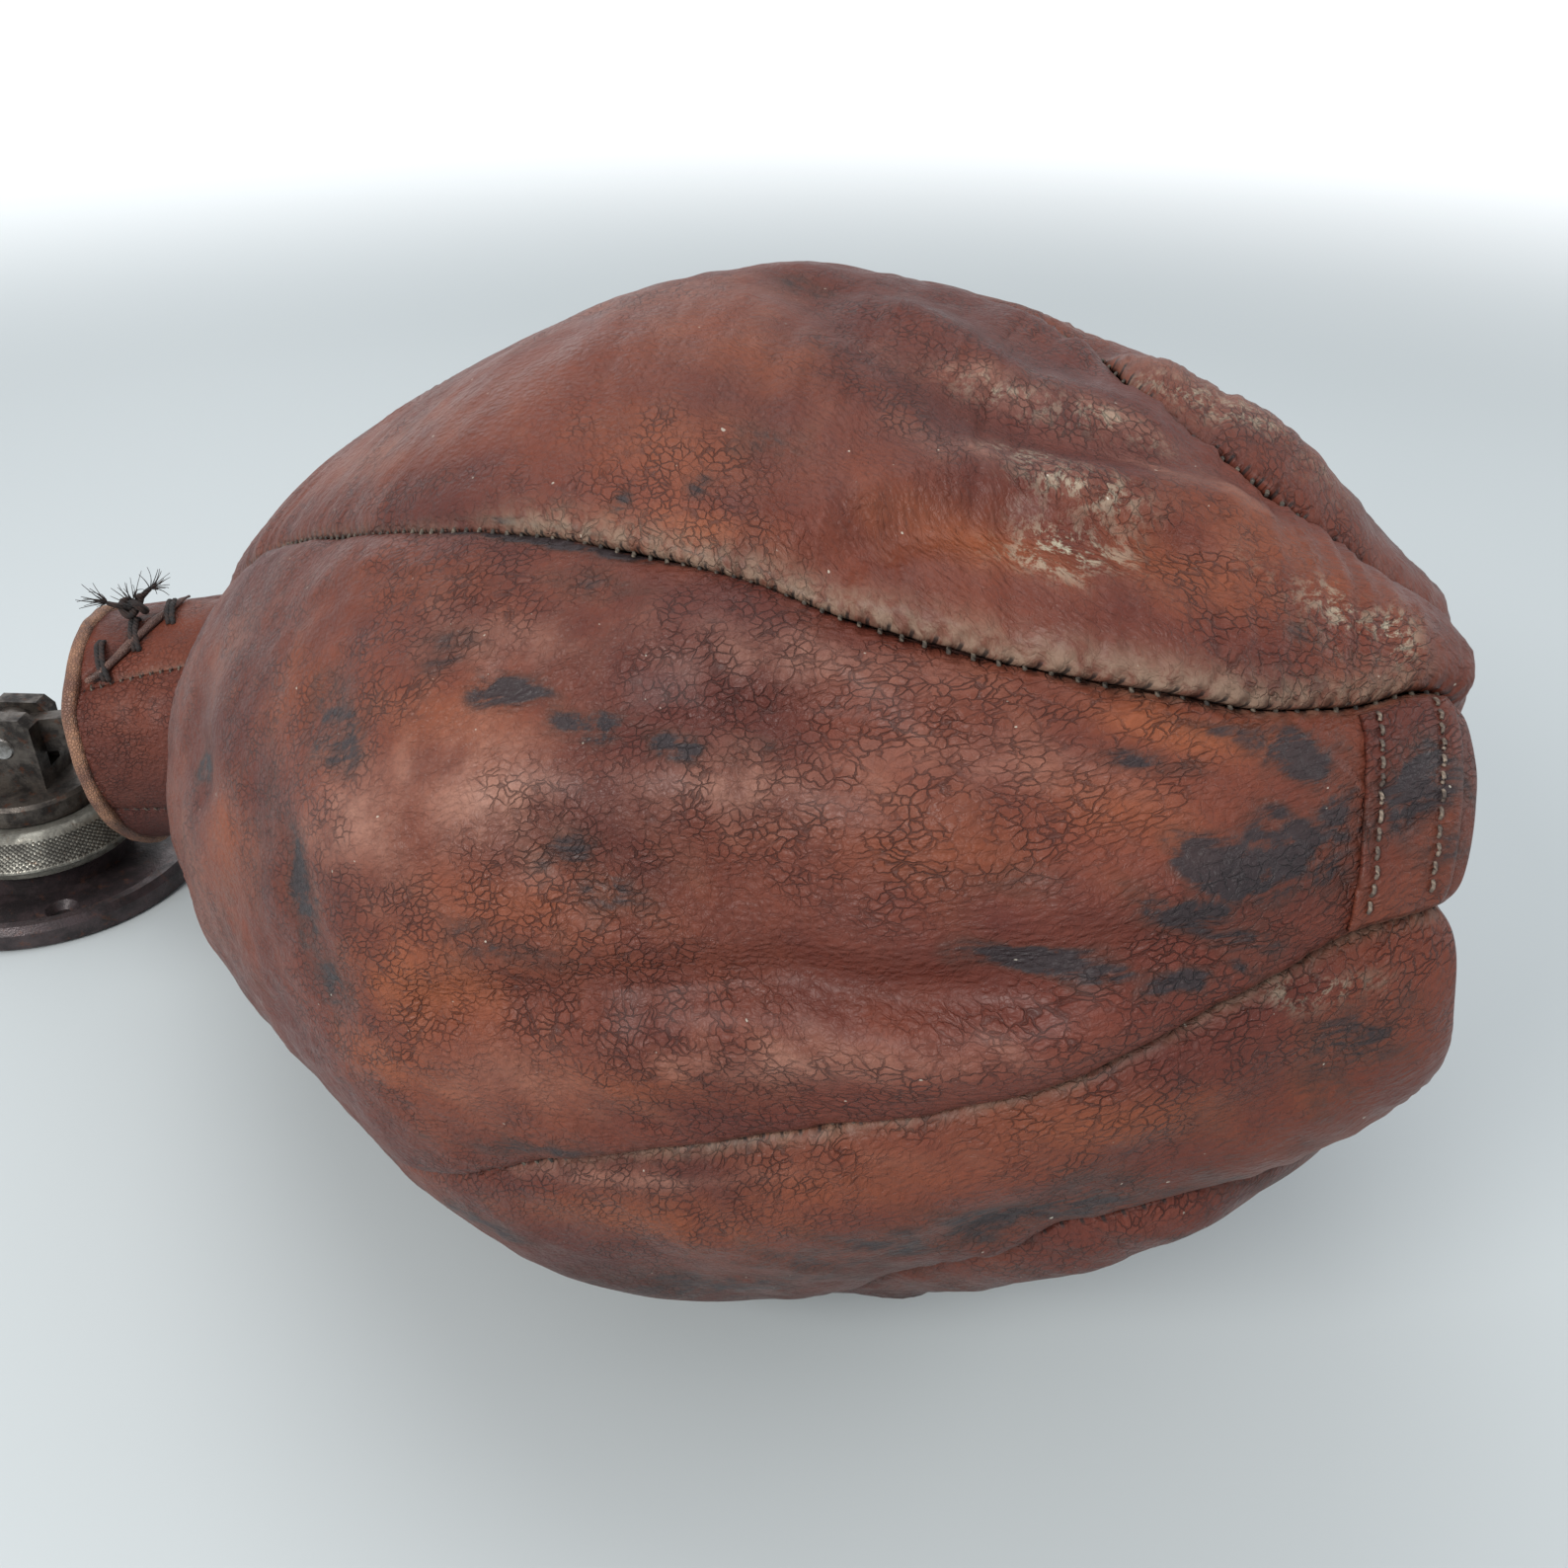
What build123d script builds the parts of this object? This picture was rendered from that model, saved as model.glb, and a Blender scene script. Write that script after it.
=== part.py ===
from build123d import *
import math
import os

# A laced leather speed bag on its ball-bearing swivel, in millimetres.
# The origin is the centre of the swivel flange's mounting face, and +Z points away from the
# surface that the flange is screwed to.  The slack bag lies on that same surface, along +X,
# with its neck held by the swivel's pin and the bag turned towards -Y.  Angles round the neck
# and round the bag start at the upper side and grow towards the -Y side.

# ---- swivel: driving dimensions ----
FLANGE_R = 52.0
FLANGE_FLOOR = 5.0          # top of the dished floor
FLANGE_RIM = 8.5            # top of the raised rim
RIM_WIDTH = 6.0
SCREW_CIRCLE = 78.0
SCREW_COUNT = 4
SCREW_HOLE_R = 2.75
SCREW_SINK_R = 5.2
SCREW_FIRST_DEG = 30.0
HUB_R = 27.0
HUB_SHOULDER = 13.5
HUB_THREAD_R = 25.0
HUB_TOP = 23.0
CUP_R = 20.0
CUP_FLOOR = 4.0

STEM_R = 9.0
STEM_TIP_R = 6.0
STEM_STEP = 34.0
STEM_TOP = 40.5
HEAD_R = 17.0
HEAD_Z = (6.5, 10.0)
RACE_T = 1.5
BALL_R = 2.95
BALL_CIRCLE_R = 13.4
BALL_COUNT = 12
BALL_GAP = 6.0              # height between the two races

RING_R = 34.5
RING_BAND_R = 31.5
RING_NOSE_R = 28.5
RING_Z = (13.8, 28.5)
THREAD_CLEARANCE = 0.05
BORE_CLEARANCE = 0.08

COLLAR_R = 23.0
COLLAR_Z = (29.0, 36.0)
FORK_X = (-9.0, 11.0)
FORK_HALF_Y = 9.5
FORK_TOP = 62.0
FORK_CHAMFER = 3.0
SLOT_HALF_Y = 3.2
SLOT_FLOOR = 41.5

# ---- pivot and hanger ----
PIVOT_Z = 51.4
PIN_R = 4.0
PIN_CLEARANCE = 0.06
PIN_PROUD = 0.6             # how far each end of the pin stands out of the fork
PIN_CHAMFER = 0.5
EYE_R = 9.0
EYE_HALF_Y = 3.0
TONGUE_HALF = 6.0
HANGER_DISC_R = 17.0
HANGER_DISC_S = (39.0, 43.0)
STUD_R = 4.0

# ---- neck: distances s along the neck's axis from the pivot ----
NECK_TILT = 8.0             # the neck's rise from the surface, degrees
NECK_R = 38.0
LEATHER = 3.0
RIM_R = 40.0
RIM_S = (42.0, 46.0)
PLUG_R = 33.3
FLAP_R = (33.4, 34.9)
PLUG_END = 86.0
NUT_S = (88.0, 93.0)
NUT_ACROSS = 13.0
WASHER_R = 13.0
FLEX_S = 93.5               # where the slack leather bends
DOME_OPEN_DEG = 20.0
SLIT_DEG = (-18.0, 32.0)
TONGUE_S = (47.0, 84.0)
LACE_R = 1.4
LACE_LENGTH = 15.0
LACE_SLANT_DEG = 14.0
LACE_S = (54.0, 63.0, 72.0)
LACE_DEG = (32.0, 18.0, 2.0)
KNOT_R = 4.4

# ---- bag: distances t along the bag's axis from the flex point ----
BAG_BEND = 32.5             # the bag's turn towards -Y at rest, degrees
BAG_TILT = 13.5             # the bag's rise from the surface, degrees
SOCKET_R = 38.4
BAG_START = 20.4
BAG_PROFILE = (
    (44.0, 57.0),
    (67.0, 71.0),
    (115.0, 95.5),
    (163.0, 110.0),
    (211.0, 118.5),
    (259.0, 108.0),
    (306.0, 88.0),
    (335.0, 67.5),
    (350.0, 57.0),
    (360.0, 50.0),
)
BAG_START_R = 44.0
BAG_END = (366.0, 44.0)
NECK_SLOPE = 0.62           # growth of the radius per length where an inner skin starts
TAIL_SLOPE = 0.9            # loss of radius per length where it ends
TAIL_HOLE_R = 26.0
FIRST_SEAM_DEG = 39.0
GORE_NAMES = ("gore_front", "gore_bottom", "gore_under", "gore_back", "gore_back_top", "gore_top")
GORE_DEG = 360.0 / len(GORE_NAMES)
TAIL_DISC_T = 3.5
BLADDER_GAP = 2.0
BLADDER_T = 1.2
BLADDER_START = 60.0
BLADDER_END = 350.0
VALVE_R = 4.5
STEM_START = 40.0
TIE_T = (46.0, 49.0)
TIE_THICK = 1.5
PATCH_T = (349.0, 362.0)
PATCH_DEG = (42.0, 96.0)
PATCH_THICK = 1.6


def unit(azimuth, rise):
    """Unit vector at an azimuth in the XY plane and a rise above it, in degrees."""
    a = math.radians(azimuth)
    b = math.radians(rise)
    return Vector(math.cos(b) * math.cos(a), math.cos(b) * math.sin(a), math.sin(b))


def axis_plane(origin, along):
    """A plane whose Z runs along an axis and whose X is the axis's upper side."""
    level = Vector(0, 0, 1).cross(along).normalized()
    return Plane(origin=origin, x_dir=along.cross(level), z_dir=along)


PIVOT = Vector(0, 0, PIVOT_Z)
NECK_DIR = unit(0.0, NECK_TILT)
NECK = axis_plane(PIVOT, NECK_DIR)
FLEX = PIVOT + NECK_DIR * FLEX_S
BAG_DIR = unit(-BAG_BEND, BAG_TILT)
BAG = axis_plane(FLEX, BAG_DIR)


def put(shape, plane):
    """The shape drawn about Z at the origin, placed on a plane."""
    return plane.location * shape


def turned(points):
    """Solid of revolution about Z from straight (radius, height) points."""
    outline = Polyline(*[(r, 0, z) for r, z in points], close=True)
    return revolve(make_face(outline), axis=Axis.Z)


def tube(r_in, r_out, low, high):
    return turned([(r_in, low), (r_out, low), (r_out, high), (r_in, high)])


def rod(radius, low, high):
    return Pos(0, 0, low) * Cylinder(radius, high - low, align=(Align.CENTER, Align.CENTER, Align.MIN))


def sector(start_deg, end_deg, reach, low, high):
    """A wedge about Z between two angles, under 180 degrees apart."""
    middle = (start_deg + end_deg) / 2
    corners = [(0.0, 0.0)]
    for angle in (start_deg, middle, end_deg):
        a = math.radians(angle)
        corners.append((reach * math.cos(a), reach * math.sin(a)))
    face = make_face(Polyline(*corners, close=True))
    return Pos(0, 0, low) * extrude(face, amount=high - low)


def above(height):
    """Everything higher than a level."""
    return Pos(0, 0, height) * Box(1200, 1200, 600, align=(Align.CENTER, Align.CENTER, Align.MIN))


# ---------------------------------------------------------------- swivel
def flange_plate():
    """The dished mounting plate, its screw holes and the threaded hub with the bearing cup."""
    body = turned([
        (0, 0),
        (FLANGE_R - 0.8, 0),
        (FLANGE_R, 0.8),
        (FLANGE_R, FLANGE_RIM - 2.5),
        (FLANGE_R - 1.5, FLANGE_RIM),
        (FLANGE_R - RIM_WIDTH + 1.5, FLANGE_RIM),
        (FLANGE_R - RIM_WIDTH, FLANGE_FLOOR),
        (HUB_R, FLANGE_FLOOR),
        (HUB_R, HUB_SHOULDER),
        (HUB_THREAD_R, HUB_SHOULDER),
        (HUB_THREAD_R, HUB_TOP),
        (CUP_R, HUB_TOP),
        (CUP_R, CUP_FLOOR),
        (0, CUP_FLOOR),
    ])
    sink_depth = SCREW_SINK_R - SCREW_HOLE_R
    for i in range(SCREW_COUNT):
        turn = Rot(0, 0, SCREW_FIRST_DEG + i * 360 / SCREW_COUNT)
        hole = rod(SCREW_HOLE_R, -1, FLANGE_FLOOR + 1)
        sink = turned([
            (0, FLANGE_FLOOR - sink_depth),
            (SCREW_HOLE_R, FLANGE_FLOOR - sink_depth),
            (SCREW_SINK_R, FLANGE_FLOOR),
            (SCREW_SINK_R, FLANGE_FLOOR + 1),
            (0, FLANGE_FLOOR + 1),
        ])
        body -= turn * Pos(SCREW_CIRCLE / 2, 0, 0) * (hole + sink)
    return body


def spindle():
    """Headed stem: the head hangs on the balls inside the cup and the tip carries the fork."""
    low, high = HEAD_Z
    return turned([
        (0, low),
        (HEAD_R - 1, low),
        (HEAD_R, low + 1),
        (HEAD_R, high),
        (STEM_R, high),
        (STEM_R, STEM_STEP),
        (STEM_TIP_R, STEM_STEP),
        (STEM_TIP_R, STEM_TOP),
        (0, STEM_TOP),
    ])


def race_lower():
    return tube(STEM_R, HEAD_R + 0.5, HEAD_Z[1], HEAD_Z[1] + RACE_T)


def race_upper():
    low = HEAD_Z[1] + RACE_T + BALL_GAP
    return tube(STEM_R + 0.6, CUP_R - 0.5, low, low + RACE_T)


def bearing_balls():
    height = HEAD_Z[1] + RACE_T + BALL_GAP / 2
    balls = []
    for i in range(BALL_COUNT):
        ball = Pos(BALL_CIRCLE_R, 0, height) * Sphere(BALL_R)
        balls.append(Rot(0, 0, i * 360 / BALL_COUNT) * ball)
    return Compound(balls)


def lock_ring():
    """Conical hand ring that closes the cup and holds the spindle's head in it."""
    low, high = RING_Z
    seat = HEAD_Z[1] + 2 * RACE_T + BALL_GAP
    bore = STEM_R + BORE_CLEARANCE
    thread = HUB_THREAD_R + THREAD_CLEARANCE
    return turned([
        (thread, low),
        (RING_BAND_R, low),
        (RING_BAND_R, low + 3.2),
        (RING_R, low + 3.8),
        (RING_NOSE_R, high - 1.5),
        (RING_NOSE_R - 1.5, high),
        (bore, high),
        (bore, seat),
        (CUP_R - 0.2, seat),
        (CUP_R - 0.2, HUB_TOP + 0.3),
        (thread, HUB_TOP + 0.3),
    ])


def collar():
    low, high = COLLAR_Z
    return turned([
        (STEM_R, low),
        (COLLAR_R, low),
        (COLLAR_R, high - 1.2),
        (COLLAR_R - 1.2, high),
        (STEM_TIP_R, high),
        (STEM_TIP_R, STEM_STEP),
        (STEM_R, STEM_STEP),
    ])


def fork():
    """Clevis block: two ears and the slot that the hanger's tongue swings in."""
    low = COLLAR_Z[1]
    width = FORK_X[1] - FORK_X[0]
    centre = (FORK_X[0] + FORK_X[1]) / 2
    block = Pos(centre, 0, (low + FORK_TOP) / 2) * Box(width, 2 * FORK_HALF_Y, FORK_TOP - low)
    block = chamfer(block.edges().filter_by(Axis.Y).group_by(Axis.Z)[-1], FORK_CHAMFER)
    slot = Pos(centre, 0, SLOT_FLOOR) * Box(
        width + 2, 2 * SLOT_HALF_Y, 40, align=(Align.CENTER, Align.CENTER, Align.MIN)
    )
    hole = Pos(0, 0, PIVOT_Z) * Rot(90, 0, 0) * Cylinder(PIN_R, 60)
    socket = rod(STEM_TIP_R, low - 1, STEM_TOP)
    return block - slot - hole - socket


def pivot_pin():
    pin = Cylinder(PIN_R, 2 * (FORK_HALF_Y + PIN_PROUD))
    pin = chamfer(pin.edges().filter_by(GeomType.CIRCLE), PIN_CHAMFER)
    return Pos(0, 0, PIVOT_Z) * Rot(90, 0, 0) * pin


# ---------------------------------------------------------------- hanger and neck
def hanger():
    """Eye, tongue, disc and stud, drawn along Z and laid on the neck's axis."""
    disc_low, disc_high = HANGER_DISC_S
    eye = Rot(90, 0, 0) * Cylinder(EYE_R, 2 * EYE_HALF_Y)
    tongue = Box(2 * TONGUE_HALF, 2 * EYE_HALF_Y, disc_low, align=(Align.CENTER, Align.CENTER, Align.MIN))
    disc = rod(HANGER_DISC_R, disc_low, disc_high)
    stud = rod(STUD_R, disc_low, NUT_S[1] + 1)
    hole = Rot(90, 0, 0) * Cylinder(PIN_R + PIN_CLEARANCE, 40)
    return put(eye + tongue + disc + stud - hole, NECK)


def neck_plug():
    """Turned wooden plug, small enough to leave room for the lacing flap."""
    return put(tube(STUD_R, PLUG_R, HANGER_DISC_S[1], PLUG_END), NECK)


def plug_washer():
    return put(tube(STUD_R, WASHER_R, PLUG_END, NUT_S[0]), NECK)


def plug_nut():
    low, high = NUT_S
    hexagon = extrude(RegularPolygon(NUT_ACROSS / math.sqrt(3), 6), amount=high - low)
    return put(Pos(0, 0, low) * hexagon - rod(STUD_R, low - 1, high + 1), NECK)


def neck_rim():
    """The folded leather edge round the mouth of the neck."""
    low, high = RIM_S
    inner = NECK_R - LEATHER
    ring = turned([
        (inner, low + 1),
        (inner + 1, low),
        (RIM_R - 1.2, low),
        (RIM_R, low + 1.2),
        (RIM_R, high - 1),
        (RIM_R - 1, high),
        (inner, high),
    ])
    return put(ring, NECK)


def neck_sleeve():
    """The neck ends of the six gores: a tube with a domed end centred on the flex point."""
    inner = NECK_R - LEATHER
    a = math.radians(DOME_OPEN_DEG)
    half = math.radians((90 + DOME_OPEN_DEG) / 2)

    def on_dome(radius, angle):
        return (radius * math.sin(angle), 0, FLEX_S + radius * math.cos(angle))

    start = RIM_S[1]
    outline = [
        Line((inner, 0, start), (NECK_R, 0, start)),
        Line((NECK_R, 0, start), (NECK_R, 0, FLEX_S)),
        ThreePointArc((NECK_R, 0, FLEX_S), on_dome(NECK_R, half), on_dome(NECK_R, a)),
        Line(on_dome(NECK_R, a), on_dome(inner, a)),
        ThreePointArc(on_dome(inner, a), on_dome(inner, half), (inner, 0, FLEX_S)),
        Line((inner, 0, FLEX_S), (inner, 0, start)),
    ]
    return put(revolve(make_face(outline), axis=Axis.Z), NECK)


def lacing_flap():
    low, high = TONGUE_S
    strip = tube(*FLAP_R, low, high)
    return put(strip & sector(SLIT_DEG[0], SLIT_DEG[1], 80, low, high), NECK)


def lace():
    """Turns of the lace across the slit, lying on the neck."""
    reach = NECK_R + LACE_R + 0.1
    turns = []
    for s, angle in zip(LACE_S, LACE_DEG):
        bar = Rot(90 + LACE_SLANT_DEG, 0, 0) * Cylinder(LACE_R, LACE_LENGTH)
        turns.append(put(Rot(0, 0, angle) * Pos(reach, 0, s) * bar, NECK))
    return Compound(turns)


def lace_knot():
    reach = NECK_R + 2 * LACE_R + KNOT_R + 0.2
    knot = Rot(0, 0, LACE_DEG[1] / 2) * Pos(reach, 0, LACE_S[1] + 1) * Sphere(KNOT_R)
    return put(knot, NECK)


# ---------------------------------------------------------------- bag
def bag_body(inset, start, end, keep_floor):
    """The bag's outline turned about its axis, set in by an amount and flat where it lies."""
    points = [(r - inset, 0, t) for t, r in BAG_PROFILE if start < t < end]
    if inset == 0:
        first = (BAG_START_R, 0, start)
        last = (BAG_END[1], 0, end)
    else:
        first = (points[0][0] - (points[0][2] - start) * NECK_SLOPE, 0, start)
        last = (points[-1][0] - (end - points[-1][2]) * TAIL_SLOPE, 0, end)
    side = Spline(first, *points, last)
    outline = [
        Line((0, 0, start), first),
        side,
        Line(last, (0, 0, end)),
        Line((0, 0, end), (0, 0, start)),
    ]
    body = put(revolve(make_face(outline), axis=Axis.Z), BAG)
    return body & above(keep_floor)


def bag_shell():
    """The leather casing before it is parted into gores."""
    outer = bag_body(0, BAG_START, BAG_END[0], 0)
    inner = bag_body(LEATHER, BAG_START + LEATHER, BAG_END[0] - LEATHER, LEATHER)
    mouth = put(Sphere(SOCKET_R), BAG)
    tail_hole = put(rod(TAIL_HOLE_R, BAG_END[0] - 10, BAG_END[0] + 10), BAG)
    return outer - inner - mouth - tail_hole


def gores():
    """Six panels, each between two seams."""
    shell = bag_shell()
    panels = {}
    for i, name in enumerate(GORE_NAMES):
        start = FIRST_SEAM_DEG + i * GORE_DEG
        wedge = put(sector(start, start + GORE_DEG, 320, 0, BAG_END[0] + 20), BAG)
        panels[name] = shell & wedge
    return panels


def tail_disc():
    return put(rod(TAIL_HOLE_R - 0.2, BAG_END[0] - TAIL_DISC_T - 2, BAG_END[0] - 2), BAG)


def tail_patch():
    """Doubling piece stitched over the tail end of the front gore."""
    low, high = PATCH_T
    skin = bag_body(0, BAG_START, BAG_END[0], 0)
    raised = bag_body(-PATCH_THICK, BAG_START, BAG_END[0], 0)
    window = put(sector(PATCH_DEG[0], PATCH_DEG[1], 320, low, high), BAG)
    return (raised - skin) & window


def bladder():
    """Rubber air bladder, a thin closed bag just inside the leather."""
    gap = LEATHER + BLADDER_GAP
    outer = bag_body(gap, BLADDER_START, BLADDER_END, gap)
    inner = bag_body(gap + BLADDER_T, BLADDER_START + BLADDER_T, BLADDER_END - BLADDER_T, gap + BLADDER_T)
    return outer - inner


def bladder_stem():
    return put(tube(VALVE_R - TIE_THICK, VALVE_R, STEM_START, BLADDER_START), BAG)


def stem_tie():
    return put(tube(VALVE_R, VALVE_R + TIE_THICK, *TIE_T), BAG)


def main():
    parts = {
        "flange_plate": flange_plate(),
        "spindle": spindle(),
        "race_lower": race_lower(),
        "race_upper": race_upper(),
        "bearing_balls": bearing_balls(),
        "lock_ring": lock_ring(),
        "collar": collar(),
        "fork": fork(),
        "pivot_pin": pivot_pin(),
        "hanger": hanger(),
        "neck_plug": neck_plug(),
        "plug_washer": plug_washer(),
        "plug_nut": plug_nut(),
        "neck_rim": neck_rim(),
        "neck_sleeve": neck_sleeve(),
        "lacing_flap": lacing_flap(),
        "lace": lace(),
        "lace_knot": lace_knot(),
        "tail_disc": tail_disc(),
        "tail_patch": tail_patch(),
        "bladder": bladder(),
        "bladder_stem": bladder_stem(),
        "stem_tie": stem_tie(),
    }
    parts.update(gores())
    os.makedirs("parts", exist_ok=True)
    for name, shape in parts.items():
        export_step(shape, f"parts/{name}.step")


main()
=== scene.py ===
"""An old laced leather speed bag on its ball-bearing swivel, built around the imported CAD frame.

Lengths in this file are in millimetres until a mesh is made.  The casing is drawn by three
numbers: lam, the length along it from the neck's bend (the neck is below 0), psi, the angle
round it in degrees from the upper side towards -Y, and its radius.
"""

import math

import bmesh
import bpy
import numpy as np
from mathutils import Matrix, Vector
from types import SimpleNamespace


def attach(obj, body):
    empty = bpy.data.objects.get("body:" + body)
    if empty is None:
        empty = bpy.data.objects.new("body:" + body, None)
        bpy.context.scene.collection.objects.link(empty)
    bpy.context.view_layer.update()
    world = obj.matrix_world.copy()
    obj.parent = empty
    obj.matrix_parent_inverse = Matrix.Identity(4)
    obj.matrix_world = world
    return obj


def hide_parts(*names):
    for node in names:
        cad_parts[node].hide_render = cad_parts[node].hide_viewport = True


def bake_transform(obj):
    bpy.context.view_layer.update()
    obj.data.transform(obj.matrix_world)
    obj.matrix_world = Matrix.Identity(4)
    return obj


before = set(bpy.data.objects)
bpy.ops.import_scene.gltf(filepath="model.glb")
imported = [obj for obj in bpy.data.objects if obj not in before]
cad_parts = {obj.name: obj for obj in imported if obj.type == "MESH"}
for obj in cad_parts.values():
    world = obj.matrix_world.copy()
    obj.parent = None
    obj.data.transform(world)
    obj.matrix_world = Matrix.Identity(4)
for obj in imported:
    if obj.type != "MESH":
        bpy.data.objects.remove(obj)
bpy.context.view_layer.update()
MM = 0.001

# ---- the neck's and the bag's axes ----
PIVOT = np.array([0.0, 0.0, 51.4])
FLEX_S = 93.5
NECK_TILT = 8.0
BAG_TILT = 13.5
BAG_BEND = 32.5
BEND_REACH = 18.0
BAG_SQUAT = 0.944
TAIL_SKEW = 17.0
TAIL_SKEW_DEG = 68.0
TAIL_SKEW_R = 43.0
FLOOR_SOFT = 3.0

# ---- the casing's outline, (lam, radius), from the neck's mouth to the gathered tail ----
OUTLINE = (
    (-49.5, 38.0), (-30.0, 38.2), (-12.0, 38.3), (0.0, 39.5), (19.0, 44.5), (44.0, 57.5), (67.0, 73.0),
    (115.0, 98.0), (163.0, 113.0), (211.0, 122.0), (259.0, 111.0), (290.0, 96.5), (306.0, 87.5),
    (322.5, 76.0),
    (335.0, 64.5), (343.5, 56.0), (349.5, 50.5), (353.2, 46.0), (355.0, 41.0), (354.6, 35.0), (351.5, 29.0),
    (348.0, 25.5), (345.0, 23.5),
)
ROW_STEP = 1.0
LEATHER = 2.4
SEAM_GAP = 0.12
STITCH = 3.2                # from one stitch hole to the next

# ---- seams, (lam, psi); gore i lies between seam i and seam i + 1 ----
SEAMS = (
    ((-49.5, 47), (-15, 40), (60, 38), (127, 37), (209, 40.3), (237, 39.8), (269, 40.5), (293, 42.6),
     (313, 43.6), (329, 42.6), (341, 37), (350, 27), (357, 19)),
    ((-49.5, 108), (-27, 112), (60, 114), (130, 112), (201, 105.3), (237, 99.9), (268, 97.1), (291, 96.6),
     (313, 92.5), (325, 85.3), (336, 79), (344.5, 73.5), (357, 70)),
    ((-49.5, 165), (60, 160), (180, 150), (240, 141), (297, 129), (312, 124), (324, 123), (335, 129),
    (345, 138),
     (357, 141)),
    ((-49.5, 222), (60, 216), (180, 209), (300, 200), (357, 198)),
    ((-49.5, 282), (60, 280), (180, 278), (300, 274), (357, 272)),
    ((-49.5, 345), (60, 341), (180, 337), (260, 339), (285, 342), (300, 350), (315, 357), (330, 360),
    (340, 360),
     (357, 353)),
)
GORES = ("front", "bottom", "under", "back", "back_top", "top")
FRONT, BOTTOM, UNDER, BACK, BACK_TOP, TOP = range(6)
GROOVE_WIDTH = 2.4

# ---- dents and folds: gore, height, half width, and the line that they follow ----
FOLDS = (
    (TOP, -1.6, 1.7, ((-45, 43), (-36, 31), (-28.5, 17), (-24, 2))),
    (TOP, -3.6, 8.5, ((240, 1), (252, 4), (269, 8), (283, 11), (293, 12), (304, 12.4), (313, 11), (323, 6))),
    (TOP, -1.6, 6.0, ((233, -2), (244, -3))),
    (TOP, 1.0, 6.0, ((262, 0), (285, 4), (299, 6), (313, 6))),
    (TOP, -3.5, 12.0, ((262, -9), (290, -6))),
    (TOP, -3.0, 30.0, ((120, -6), (190, -4))),
    (TOP, 2.8, 6.5, ((279, 33), (288, 27), (295, 23), (303, 21.5), (312, 18), (322, 11))),
    (TOP, -2.6, 5.0, ((282, 38), (291, 32), (301, 28.5), (309, 28), (318, 25))),
    (TOP, 1.6, 8.0, ((296, 37), (308, 37), (322, 36), (333, 32))),
    (TOP, 2.0, 8.0, ((333, 22), (343, 18))),
    (TOP, 1.5, 14.0, ((225, 18), (245, 22))),
    (FRONT, -3.0, 5.0, ((228, 81.8), (250, 79.7), (266, 78.4), (287, 77.6), (299, 79.0), (312, 79.5))),
    (FRONT, 3.0, 8.0, ((262, 87), (279, 86), (289, 86), (297, 87), (309, 87), (318, 83))),
    (FRONT, 2.4, 20.0, ((212, 67), (226, 64), (243, 63))),
    (FRONT, -1.6, 8.0, ((250, 67), (262, 69), (280, 69))),
    (FRONT, 2.0, 11.0, ((272, 60), (286, 59.5), (302, 61))),
    (FRONT, 1.8, 7.0, ((262, 47), (283, 47), (302, 49))),
    (FRONT, -1.8, 5.0, ((238, 54), (257, 55.3), (272, 54.5), (288, 53.2), (303, 53.2))),
    (FRONT, -2.4, 8.0, ((128, 64), (140, 67))),
    (FRONT, 1.6, 9.0, ((150, 58), (165, 66))),
    (FRONT, -2.0, 8.0, ((196, 57), (207, 60))),
    (FRONT, -1.6, 9.0, ((195, 72), (203, 84))),
    (FRONT, -1.5, 5.0, ((312, 75), (328, 73))),
    (FRONT, 1.5, 6.0, ((318, 67), (332, 64))),
    (BACK_TOP, 3.2, 9.0, ((294, -14), (303, -15), (314, -14), (326, -12))),
    (BACK_TOP, -5.0, 12.0, ((255, -14), (280, -17))),
    (BACK_TOP, -3.0, 30.0, ((120, -20), (190, -18))),
    (BACK_TOP, -1.5, 7.0, ((262, -28), (285, -32), (310, -34))),
    (BACK_TOP, 3.0, 12.0, ((200, -40), (240, -46), (280, -44))),
    (BOTTOM, 1.8, 10.0, ((262, 108), (290, 110), (312, 107))),
    (BOTTOM, -2.0, 7.0, ((300, 118), (322, 106), (338, 98))),
    (UNDER, 3.0, 10.0, ((262, 150), (290, 142), (318, 132))),
    (BACK, -3.5, 9.0, ((150, 240), (190, 246), (235, 238))),
    (BACK, 2.5, 14.0, ((210, 255), (260, 250))),
    (BACK, -2.5, 6.0, ((270, 236), (300, 228), (325, 222))),
)

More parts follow.
